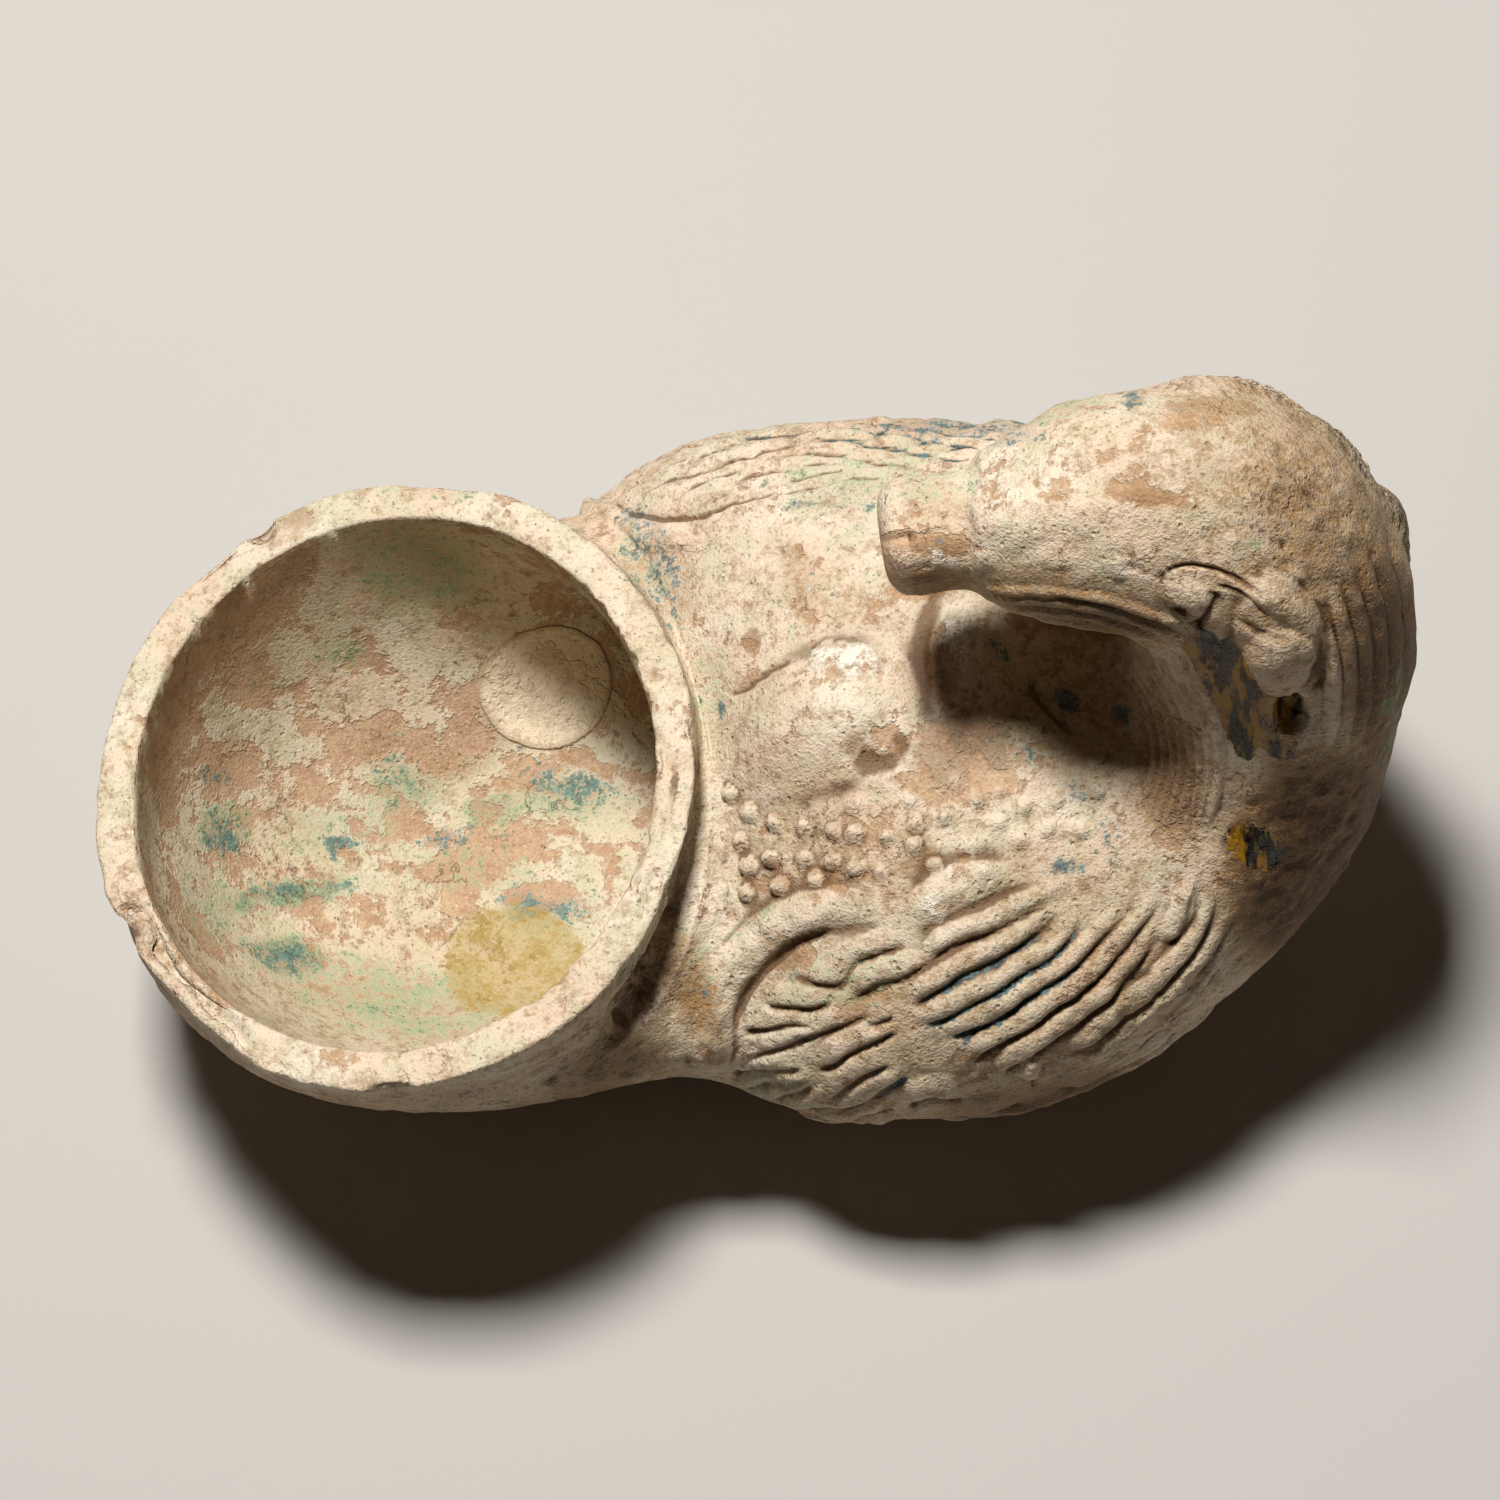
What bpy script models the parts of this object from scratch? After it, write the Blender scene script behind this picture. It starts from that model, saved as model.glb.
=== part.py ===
"""Rhyton cup: a wide round drinking cup whose body is a winged beast with its head turned back.

It is one hollow piece of moulded earthenware, made as one closed surface: the floor of the hollow,
its wall, the flat lip, the outside of the cup, the body, the neck, the head and the muzzle.
Metres, +Z up. +X runs from the mouth to the breast, +Y to the side, and the belly rests on z = 0.
"""

import math

import bmesh
import bpy
import numpy as np

# Driving dimensions, in metres
LENGTH = 0.130
LIP_WIDTH = 0.0042
LIP_CROWN = 0.0007
CUP_WALL = 0.0046
QUILL_HEIGHT = 0.0011
COVERT_HEIGHT = 0.0008
WING_EDGE_HEIGHT = 0.0013
BEAD_DIAMETER = 0.0021
BEAD_HEIGHT = 0.0008
STRAND_HEIGHT = 0.0006
LOCK_HEIGHT = 0.0010
CREST_HEIGHT = 0.0010
SHOULDER_LUMP_HEIGHT = 0.0024
HAUNCH_LUMP_HEIGHT = 0.0032
EYE_HEIGHT = 0.0013
BROW_DEPTH = 0.0005
EAR_HEIGHT = 0.0024
EAR_BAND_HEIGHT = 0.0008
EAR_BALL_HEIGHT = 0.0010
JAW_FOLD_HEIGHT = 0.00045
JAW_FOLD_SPACING = 0.0013
MOUTH_DEPTH = 0.0005
NOSTRIL_DEPTH = 0.0007

# How many of each carved thing
QUILLS = 10
COVERTS = 10
THROAT_STRANDS = 6
MANE_LOCKS = 4
CREST_TEETH = 22

# The free form is drawn on a grid of parts, 130 of them to its length
GRID_PARTS = 130
PART = LENGTH / GRID_PARTS
MIDDLE = np.array([1.2, 0.5, 0.0])

# Stations along the form, in parts. Each is a cross-section held between two rails:
# where it meets the inner rail (x, z) and the outer rail (x, z), how far up from the outer rail
# it is widest, its half width, how far it leans to +Y, its power above and below the widest line
# (2 is an ellipse, more is squarer), and how far each part that it reaches to +Y carries it up
# and along +X.
STATIONS = [
    ((-3.4, 41.6), (-63.6, 34.8), 0.50, 33.2, 0.9, 2.0, 2.0, -0.11, 0.00),
    ((-3.3, 39.4), (-62.6, 25.0), 0.54, 32.4, 0.9, 2.0, 2.0, -0.08, 0.00),
    ((-3.0, 38.2), (-55.4, 10.6), 0.60, 31.2, 0.9, 2.0, 2.0, -0.04, -0.01),
    ((-2.6, 37.8), (-37.0, 0.8), 0.68, 29.9, 1.3, 2.0, 2.0, 0.00, -0.04),
    ((-1.6, 38.6), (-17.0, -1.2), 0.70, 30.8, 2.1, 2.0, 2.1, 0.00, -0.10),
    ((2.5, 42.0), (-5.0, -1.2), 0.64, 34.6, 1.3, 2.0, 2.2, 0.00, -0.10),
    ((13.0, 46.5), (12.0, -1.2), 0.56, 36.4, 0.6, 2.1, 2.2, 0.00, -0.05),
    ((25.0, 47.0), (28.0, -0.8), 0.55, 34.6, -0.5, 2.1, 2.3, 0.00, 0.00),
    ((34.0, 47.5), (47.0, 6.5), 0.57, 30.2, -0.2, 2.1, 2.3, 0.00, 0.00),
    ((37.2, 49.0), (61.0, 24.0), 0.56, 24.2, 0.1, 2.0, 2.4, 0.00, 0.00),
    ((38.6, 51.5), (65.0, 43.0), 0.50, 18.8, 0.1, 2.0, 2.2, 0.00, 0.00),
    ((39.0, 54.5), (63.8, 62.0), 0.50, 15.0, 0.1, 2.0, 2.0, 0.00, 0.00),
    ((38.6, 57.5), (57.8, 75.8), 0.50, 13.5, 1.0, 2.0, 2.0, 0.00, 0.00),
    ((37.6, 59.5), (50.0, 81.6), 0.50, 12.8, 2.3, 2.0, 2.0, 0.00, 0.00),
    ((35.4, 61.0), (42.0, 82.8), 0.50, 11.0, 3.0, 2.1, 2.1, 0.00, 0.00),
    ((31.5, 62.0), (33.5, 81.0), 0.50, 9.7, 3.7, 2.2, 2.2, 0.00, 0.00),
    ((25.2, 63.2), (25.2, 77.2), 0.50, 6.6, 4.4, 2.3, 2.3, 0.00, 0.00),
    ((24.3, 64.2), (24.3, 76.0), 0.50, 5.8, 4.5, 2.4, 2.4, 0.00, 0.00),
    ((18.4, 64.6), (18.4, 75.0), 0.50, 5.4, 4.7, 2.5, 2.5, 0.00, 0.00),
]
WAIST, BREAST, NECK, NAPE, CROWN, BROW = 4, 8, 10, 11, 13, 14
MUZZLE_ROUND = 2.4

# The hollow narrows from the first of these stations and ends at the second
HOLLOW_NARROWS = 7.4
HOLLOW_ENDS = 9.6

# The head is rolled over, so that its crown turns to +Y and its near cheek lies uppermost
HEAD_ROLL = math.radians(52)
CREST_SPREAD = math.radians(14)

# The carving is laid out on a sheet seen from above and to one side: its tilt and turn, how far
# away its viewpoint is, and where its middle lies, all in parts
SHEET_TILT = math.radians(22)
SHEET_TURN = math.radians(8)
SHEET_DISTANCE = 500
SHEET_ANCHOR = np.array([11.0, 0.0, 25.0])
SHEET_ANCHOR_AT = (10.0, -2.3)
SHEET_EDGE_HIGH = 0.30
SHEET_EDGE_LOW = 0.10

# Fineness of the carved surface before it is thinned, and the faces left after
RINGS_OUTSIDE = 300
RINGS_HOLLOW = 60
RINGS_LIP = 8
RINGS_MUZZLE = 8
AROUND = 224
FACES_LEFT = 9700

CLAY = (0.63, 0.50, 0.36)


def sheet_axes():
    """The sheet's right, up and toward directions."""
    tilt_up = np.array([0, math.cos(SHEET_TILT), math.sin(SHEET_TILT)])
    toward = np.array([0, -math.sin(SHEET_TILT), math.cos(SHEET_TILT)])
    ahead = np.array([1.0, 0, 0])
    right = math.cos(SHEET_TURN) * ahead - math.sin(SHEET_TURN) * tilt_up
    up = math.sin(SHEET_TURN) * ahead + math.cos(SHEET_TURN) * tilt_up
    return right, up, toward


def on_sheet(points):
    """Where each point shows on the carving sheet."""
    right, up, toward = sheet_axes()
    offset = points - SHEET_ANCHOR
    scale = SHEET_DISTANCE / (SHEET_DISTANCE - offset @ toward)
    across = (offset @ right + SHEET_ANCHOR_AT[0]) * scale
    along = (offset @ up + SHEET_ANCHOR_AT[1]) * scale
    return np.stack([across, along], -1)


def smooth(knots, values, at):
    """A smooth curve through the values, read at the places asked for."""
    values = np.asarray(values, float)
    slopes = np.gradient(values, knots, axis=0)
    low = np.clip(np.searchsorted(knots, at, side="right") - 1, 0, len(knots) - 2)
    span = (knots[low + 1] - knots[low])[:, None]
    t = ((at - knots[low])[:, None]) / span
    start, end = values[low], values[low + 1]
    rise = end - start
    return (
        start
        + t * span * slopes[low]
        + t**2 * (3 * rise - span * (2 * slopes[low] + slopes[low + 1]))
        + t**3 * (span * (slopes[low] + slopes[low + 1]) - 2 * rise)
    )


def path(points, count):
    """Evenly shared points on a smooth curve through a few chosen ones."""
    points = np.asarray(points, float)
    steps = np.linalg.norm(np.diff(points, axis=0), axis=1)
    knots = np.concatenate([[0], np.cumsum(steps)])
    return smooth(knots, points, np.linspace(0, knots[-1], count))


def ease(values, low, high):
    """0 below low, 1 above high, and a smooth step between."""
    t = np.clip((values - low) / (high - low), 0, 1)
    return t * t * (3 - 2 * t)


def knots_of_stations():
    """How far along the form each station stands, from 0 at the lip to 1 at the muzzle."""
    inner = np.array([s[0] for s in STATIONS])
    outer = np.array([s[1] for s in STATIONS])
    middle_steps = np.linalg.norm(np.diff((inner + outer) / 2, axis=0), axis=1)
    turn_steps = np.linalg.norm(np.diff(outer - inner, axis=0), axis=1)
    knots = np.concatenate([[0], np.cumsum(middle_steps + 0.3 * turn_steps)])
    return knots / knots[-1]


KNOTS = knots_of_stations()


def station_at(number):
    """How far along the form a station is, also a place part of the way between two of them."""
    return np.interp(number, range(len(KNOTS)), KNOTS)


def part_way(at, low, high):
    """0 before one station, 1 past the other, and a smooth step between them."""
    return ease(at, station_at(low), station_at(high))


def rings(at, inset=0.0, shrink=1.0):
    """Cross-sections at the places asked for, each drawn in by inset and shrunk about its middle."""
    table = np.array([[*s[0], *s[1], *s[2:]] for s in STATIONS])
    read = smooth(KNOTS, table, np.asarray(at, float))
    inner, outer = read[:, 0:2], read[:, 2:4]
    widest, half_width, lean, power_up, power_down, raised, skewed = read[:, 4:].T
    length = np.linalg.norm(outer - inner, axis=1)[:, None]
    toward_outer = (outer - inner) / length
    inset = np.broadcast_to(inset, len(inner))[:, None]
    shrink = np.broadcast_to(shrink, len(inner))[:, None]
    inner = inner + toward_outer * inset
    outer = outer - toward_outer * inset
    centre = outer + (inner - outer) * widest[:, None]
    angle = np.linspace(0, 2 * math.pi, AROUND, endpoint=False)
    cosine, sine = np.cos(angle)[None], np.sin(angle)[None]
    power = np.where(cosine >= 0, power_up[:, None], power_down[:, None])
    height = np.abs(cosine) ** (2 / power) * shrink
    side = np.sign(sine) * np.abs(sine) ** (2 / power) * shrink
    reach = np.where(cosine[..., None] >= 0, (inner - centre)[:, None], (outer - centre)[:, None])
    across = side * (half_width[:, None] - inset)
    points = np.empty((len(inner), AROUND, 3))
    points[..., 0] = centre[:, None, 0] + reach[..., 0] * height + skewed[:, None] * across
    points[..., 1] = lean[:, None] + across
    points[..., 2] = centre[:, None, 1] + reach[..., 1] * height + raised[:, None] * across
    return points


def normals(points):
    """Outward normals of a grid of rings."""
    along = np.gradient(points, axis=0)
    around = np.roll(points, -1, axis=1) - np.roll(points, 1, axis=1)
    found = np.cross(along, around)
    return found / np.maximum(np.linalg.norm(found, axis=-1, keepdims=True), 1e-9)


def near_path(places, line):
    """Distance from each place to a line of points, and how far along the line that is."""
    best = np.full(len(places), np.inf)
    share = np.zeros(len(places))
    for k in range(len(line) - 1):
        step = line[k + 1] - line[k]
        t = np.clip((places - line[k]) @ step / (step @ step), 0, 1)
        distance = np.linalg.norm(places - line[k] - t[:, None] * step, axis=1)
        nearer = distance < best
        best = np.where(nearer, distance, best)
        share = np.where(nearer, (k + t) / (len(line) - 1), share)
    return best, share


def rolled_on(sheet_places, points, facing):
    """The sheet carried on round the flanks: past its edge, height on it goes on as length of clay."""
    steps = np.linalg.norm(np.diff(points, axis=1), axis=-1)
    drops = np.diff(sheet_places[..., 1], axis=1)
    edge_on = ease((facing[:, 1:] + facing[:, :-1]) / 2, SHEET_EDGE_HIGH, SHEET_EDGE_LOW)
    down = np.cumsum(drops * (1 - edge_on) - steps * edge_on, axis=1)
    carried = sheet_places.copy()
    carried[:, 1:, 1] = sheet_places[:, :1, 1] + down
    return carried


def ridge(places, line, half_width, fade=0.15):
    """Height from 0 to 1 of a rounded ridge along a line, fading out at both ends."""
    distance, share = near_path(places, line)
    top = np.clip(1 - (distance / half_width) ** 2, 0, 1) ** 1.5
    return top * ease(share, 0, fade) * ease(1 - share, 0, fade)


def dome(places, middle, radii, turn=0.0, power=1.0):
    """Height from 0 to 1 of a rounded lump with an oval outline."""
    cosine, sine = math.cos(turn), math.sin(turn)
    offset = places - np.asarray(middle)
    long = (offset[:, 0] * cosine + offset[:, 1] * sine) / radii[0]
    wide = (offset[:, 1] * cosine - offset[:, 0] * sine) / radii[1]
    return np.clip(1 - long**2 - wide**2, 0, 1) ** power


def between(guides, count, samples):
    """A family of lines that pass in turn through each guide, evenly shared along them."""
    crossings = np.stack([path(guide, count) for guide in guides], axis=1)
    return [path(crossing, samples) for crossing in crossings]


def wing_relief(places):
    """The two rounded bands of the leading edge, the short coverts and the long quills of a wing."""
    bands = [
        [(-3.9, -32.0), (-3.7, -29.0), (-2.8, -25.5), (-1.2, -21.8), (1.5, -18.6), (5.0, -16.4),
         (14.5, -15.8)],
        [(14.6, -16.8), (16.8, -15.0), (20.5, -13.3), (25.0, -12.5), (31.5, -13.0)],
    ]
    quill_guides = [
        [(16.8, -18.9), (15.4, -24.3), (21.1, -32.1), (35.1, -30.0)],
        [(21.0, -18.4), (21.4, -20.8), (27.8, -26.6), (39.9, -25.7)],
        [(25.5, -16.3), (27.2, -17.4), (35.4, -21.0), (44.6, -20.4)],
        [(29.0, -13.6), (32.6, -12.9), (41.9, -12.1), (48.6, -14.3)],
    ]
    covert_guides = [
        [(2.9, -21.8), (-0.6, -26.8), (-2.1, -31.6), (0.8, -34.6), (6.0, -38.5)],
        [(9.0, -21.6), (7.0, -25.6), (5.6, -30.4), (6.6, -34.2), (11.0, -38.8)],
        [(15.2, -18.8), (14.4, -23.6), (14.6, -28.0), (16.2, -32.8), (19.0, -38.0)],
    ]
    height = np.zeros(len(places))
    for band in bands:
        height = np.maximum(height, WING_EDGE_HEIGHT / PART * ridge(places, path(band, 30), 1.7))
    for line in between(quill_guides, QUILLS, 14):
        height = np.maximum(height, QUILL_HEIGHT / PART * ridge(places, line, 1.4, 0.1))
    for line in between(covert_guides, COVERTS, 10):
        height = np.maximum(height, COVERT_HEIGHT / PART * ridge(places, line, 1.15, 0.15))
    return height


def bead_places():
    """The rows of beads on the near side of the back."""
    return np.concatenate([
        path([(-2.1, -4.3), (2.5, -7.2), (10.0, -8.1), (20.0, -6.4), (34.5, -4.4)], 13),
        path([(-2.8, -9.8), (2.0, -10.3), (8.0, -10.8), (13.0, -12.3)], 7),
        path([(-2.8, -14.0), (0.2, -13.4), (3.0, -13.6), (6.6, -12.9)], 4),
        [(-6.0, -23.5), (-8.5, -29.5)],
    ])


def back_relief(places):
    """Two lumps on the back, and the rows of beads beside them."""
    height = SHOULDER_LUMP_HEIGHT / PART * dome(places, (7.0, 3.0), (10.5, 6.5), math.radians(25), 1.3)
    height += HAUNCH_LUMP_HEIGHT / PART * dome(places, (23.2, 10.6), (5.2, 8.5), math.radians(-10), 1.2)
    radius = BEAD_DIAMETER / PART / 2
    for middle in bead_places():
        height += BEAD_HEIGHT / PART * dome(places, middle, (radius, radius), 0, 0.6)
    return height


def neck_relief(places):
    """Fine strands down the throat, and the long locks of the mane behind them."""
    strand_guides = [
        [(35.6, 9.8), (43.4, 10.4)],
        [(39.6, 5.6), (46.2, 4.6)],
        [(40.6, -0.6), (47.0, -1.6)],
        [(38.0, -8.2), (45.6, -8.6)],
    ]
    lock_guides = [
        [(57.0, 16.0), (62.0, 16.0)],
        [(58.2, 8.0), (64.0, 7.0)],
        [(57.4, 0.5), (63.2, -1.0)],
    ]
    height = np.zeros(len(places))
    for line in between(strand_guides, THROAT_STRANDS, 12):
        height = np.maximum(height, STRAND_HEIGHT / PART * ridge(places, line, 0.75))
    for line in between(lock_guides, MANE_LOCKS, 10):
        height = np.maximum(height, LOCK_HEIGHT / PART * ridge(places, line, 0.95, 0.25))
    return height


def head_relief(places):
    """An eye under its brow, a curled ear, the folds of the jaw, the mouth and a nostril."""
    brow = [(41.2, 16.6), (45.0, 18.3), (49.0, 17.4), (51.6, 15.2)]
    curl = [(47.6, 16.0), (52.0, 15.4), (56.0, 12.0), (56.0, 7.6), (53.2, 5.4), (50.6, 7.4), (51.0, 10.4)]
    mouth = [(14.6, 21.4), (18.0, 21.6), (21.8, 21.4)]
    height = EYE_HEIGHT * dome(places, (44.0, 15.4), (2.7, 2.0), math.radians(-15), 0.6)
    height -= BROW_DEPTH * ridge(places, path(brow, 12), 0.45)
    height += EAR_HEIGHT * dome(places, (52.8, 9.6), (3.5, 4.8), math.radians(-12), 0.45)
    height += EAR_BAND_HEIGHT * ridge(places, path(curl, 30), 1.2)
    height += EAR_BALL_HEIGHT * dome(places, (53.2, 9.2), (2.0, 2.2), 0, 0.6)
    for drop in (0, JAW_FOLD_SPACING / PART):
        fold = [(23.8, 14.6 - drop), (33.0, 13.6 - drop), (43.0, 10.8 - drop)]
        height += JAW_FOLD_HEIGHT * ridge(places, path(fold, 14), 0.6)
    height -= MOUTH_DEPTH * ridge(places, path(mouth, 8), 0.5)
    height -= NOSTRIL_DEPTH * dome(places, (15.6, 21.0), (1.0, 0.9))
    return height / PART


def lip_chips(places):
    """Old chips in the lip, where clay is gone, and the long worn stretch beside two of them."""
    height = np.zeros(len(places))
    for middle, radii, turn, depth in (
        ((-61.6, -18.2), (2.0, 2.0), 0, 0.0009),
        ((-54.4, -28.0), (2.2, 2.2), 0, 0.0010),
        ((-50.4, 20.4), (2.0, 2.0), 0, 0.0009),
        ((-55.6, 18.0), (1.6, 1.6), 0, 0.0005),
        ((-58.0, -23.5), (14.0, 5.0), math.radians(-52), 0.0012),
    ):
        height -= depth / PART * dome(places, middle, radii, turn, 1.2)
    return height


def on_wing_sheet(points, outward):
    """Both flanks folded to the near side and laid on the sheet, carried on past its edge."""
    near_half = -np.arange(AROUND // 2 + 1)
    near_points, near_outward = points[:, near_half], outward[:, near_half]
    facing = near_outward @ sheet_axes()[2]
    laid = rolled_on(on_sheet(near_points), near_points, facing)
    far_half = np.arange(1, AROUND // 2)
    whole = np.empty(points.shape[:2] + (2,))
    whole[:, near_half] = laid
    whole[:, far_half] = laid[:, far_half]
    return whole


def head_roll(at):
    """How far the form has rolled over at each place along it, from none at the neck."""
    return HEAD_ROLL * part_way(at, NECK, CROWN)


def mirrored(points, outward, at):
    """Points and normals past the middle plane, which rolls with the head, sent to the near side."""
    table = np.array([[s[4], (s[0][1] + s[1][1]) / 2] for s in STATIONS])
    middle = smooth(KNOTS, table, at)[:, None]
    roll = head_roll(at)
    across = np.stack([np.cos(roll), -np.sin(roll)], -1)[:, None]
    past = ((points[..., 1:] - middle) * across).sum(-1, keepdims=True)
    turned = (outward[..., 1:] * across).sum(-1, keepdims=True)
    near_points, near_outward = points.copy(), outward.copy()
    near_points[..., 1:] -= 2 * np.where(past > 0, past, 0) * across
    near_outward[..., 1:] -= 2 * np.where(past > 0, turned, 0) * across
    return near_points, near_outward


def crest(at):
    """Height of the toothed crest, from the nape over to the crown, along the middle plane."""
    angle = np.linspace(0, 2 * math.pi, AROUND, endpoint=False)
    off = np.abs(angle - (math.pi - head_roll(at)[:, None]))
    along = part_way(at, NECK, NAPE) * (1 - part_way(at, CROWN, BROW))
    teeth = 0.7 + 0.3 * np.sin(at * 2 * math.pi * CREST_TEETH / (KNOTS[CROWN] - KNOTS[NECK]))
    return CREST_HEIGHT / PART * (along * teeth)[:, None] * np.clip(1 - (off / CREST_SPREAD) ** 2, 0, 1)


def carved(points, at):
    """The outside with its carving raised along the normals."""
    outward = normals(points)
    toward = sheet_axes()[2]
    near_points, near_outward = mirrored(points, outward, at)
    everywhere = np.ones(points.shape[:2])
    seen = ease(outward @ toward, -0.05, 0.20)
    seen_folded = ease(near_outward @ toward, -0.05, 0.20)
    near, folded = on_sheet(points), on_sheet(near_points)
    winged = on_wing_sheet(points, outward)

    body = part_way(at, WAIST - 1, WAIST - 0.6) * (1 - part_way(at, NECK, NAPE))
    neck = part_way(at, BREAST, BREAST + 1) * (1 - part_way(at, CROWN, BROW))
    head = part_way(at, NECK, NAPE)
    lip = 1 - part_way(at, 0, 1)
    relief = crest(at)
    for part, sight, places, carve in (
        (body, everywhere, winged, wing_relief),
        (body, seen, near, back_relief),
        (neck, seen_folded, folded, neck_relief),
        (head, seen_folded, folded, head_relief),
        (lip, everywhere, near, lip_chips),
    ):
        weight = part[:, None] * sight
        on = weight > 0
        relief[on] += weight[on] * carve(places[on])
    return points + outward * relief[..., None]


def hollow_rings():
    """The wall of the hollow, from its far end to the inner edge of the lip."""
    start, end = station_at(HOLLOW_NARROWS), station_at(HOLLOW_ENDS)
    straight = int(RINGS_HOLLOW * 0.6)
    turn = np.linspace(math.pi / 2, 0, RINGS_HOLLOW - straight, endpoint=False)[1:]
    at = np.concatenate([start + (end - start) * np.sin(turn), np.linspace(start, 0, straight)])
    shrink = np.concatenate([np.cos(turn), np.ones(straight)])
    inset = LIP_WIDTH / PART + (CUP_WALL - LIP_WIDTH) / PART * ease(at, 0, KNOTS[2])
    return rings(at, inset, shrink)


def lip_rings(inner_edge, outer_edge):
    """The lip between the hollow and the outside, flat with rounded edges."""
    turn = np.linspace(0, math.pi, RINGS_LIP + 2)[1:-1]
    share = (1 - np.cos(turn)) / 2
    rise = np.sin(turn) ** 0.5 * LIP_CROWN / PART
    inner, outer = np.array(STATIONS[0][0]), np.array(STATIONS[0][1])
    along_mouth = (inner - outer) / np.linalg.norm(inner - outer)
    upward = np.array([-along_mouth[1], 0, along_mouth[0]])
    spread = inner_edge[None] + (outer_edge - inner_edge)[None] * share[:, None, None]
    return spread + upward * rise[:, None, None]


def muzzle_rings(last):
    """The rounded end of the muzzle, shrinking to a small ring round its tip."""
    turn = np.linspace(0, math.pi / 2, RINGS_MUZZLE + 1)[1:]
    middle = last.mean(axis=0)
    shrink = 1 - (1 - np.cos(turn)) * 0.97
    reach = MUZZLE_ROUND * np.sin(turn)
    grown = middle + (last - middle)[None] * shrink[:, None, None] ** 0.5
    return grown + np.array([-1.0, 0, 0]) * reach[:, None, None]


def form_surface():
    """Every ring of the piece in order, in metres, with the point that closes each end."""
    at = np.linspace(0, 1, RINGS_OUTSIDE)
    outside = carved(rings(at), at)
    hollow = hollow_rings()
    lip = lip_rings(hollow[-1], outside[0])
    muzzle = muzzle_rings(outside[-1])
    whole = np.concatenate([hollow, lip, outside, muzzle])
    ends = whole[0].mean(axis=0), whole[-1].mean(axis=0)
    return (whole - MIDDLE) * PART, [(end - MIDDLE) * PART for end in ends]


def make_piece(name):
    """The closed mesh of the piece, carved fine and then thinned where it is plain."""
    grid, ends = form_surface()
    count = len(grid)
    index = np.arange(count * AROUND).reshape(count, AROUND)
    turned = np.roll(index, -1, axis=1)
    quads = np.stack([index[:-1], index[1:], turned[1:], turned[:-1]], axis=-1).reshape(-1, 4)
    first, last = count * AROUND, count * AROUND + 1
    caps = [(first, int(a), int(b)) for a, b in zip(index[0], turned[0])]
    caps += [(last, int(b), int(a)) for a, b in zip(index[-1], turned[-1])]
    mesh = bpy.data.meshes.new(name)
    mesh.from_pydata(np.vstack([grid.reshape(-1, 3), ends]).tolist(), [], quads.tolist() + caps)
    loft = bmesh.new()
    loft.from_mesh(mesh)
    bmesh.ops.recalc_face_normals(loft, faces=loft.faces)
    loft.to_mesh(mesh)
    loft.free()
    mesh.shade_smooth()
    piece = bpy.data.objects.new(name, mesh)
    thin = piece.modifiers.new("thin plain runs", "DECIMATE")
    thin.ratio = FACES_LEFT / (2 * len(quads) + len(caps))
    return piece


def make_foot_cutter():
    """A slab that cuts the belly flat at z = 0."""
    bpy.ops.mesh.primitive_cube_add(size=1, location=(0, 0, -LENGTH / 2))
    cutter = bpy.context.object
    cutter.name = "foot_cutter"
    cutter.scale = (2 * LENGTH, 2 * LENGTH, LENGTH)
    cutter.hide_render = True
    cutter.display_type = "WIRE"
    return cutter


def earthenware():
    """Buff earthenware under a decayed lead glaze."""
    material = bpy.data.materials.new("glazed_earthenware")
    material.use_nodes = True
    shader = material.node_tree.nodes["Principled BSDF"]
    shader.inputs["Base Color"].default_value = (*CLAY, 1)
    shader.inputs["Roughness"].default_value = 0.7
    shader.inputs["Metallic"].default_value = 0.0
    return material


def move_to(obj, collection):
    """Put an object in one collection only."""
    for other in list(obj.users_collection):
        other.objects.unlink(obj)
    collection.objects.link(obj)


def main():
    for old in list(bpy.data.objects):
        bpy.data.objects.remove(old, do_unlink=True)
    parts = bpy.data.collections.new("rhyton_cup")
    cutters = bpy.data.collections.new("cutters")
    for collection in (parts, cutters):
        bpy.context.scene.collection.children.link(collection)

    rhyton = make_piece("rhyton")
    rhyton.data.materials.append(earthenware())
    parts.objects.link(rhyton)
    cutter = make_foot_cutter()
    move_to(cutter, cutters)
    flat = rhyton.modifiers.new("flat belly", "BOOLEAN")
    flat.operation = "DIFFERENCE"
    flat.object = cutter


main()
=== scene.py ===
# %% [markdown]
# # A rhyton cup of weathered glazed earthenware
# A wide round drinking cup whose body is a winged beast, lying down, with its head turned back over
# its own shoulder. The real one was pressed in a mould from buff clay, its wings and mane were
# sharpened by hand, and a green and blue lead glaze was poured over it. Most of that glaze has decayed.
# Everything here is drawn from a few tables of millimetres, with numpy doing the arithmetic.
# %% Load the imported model
import itertools
import math

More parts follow.
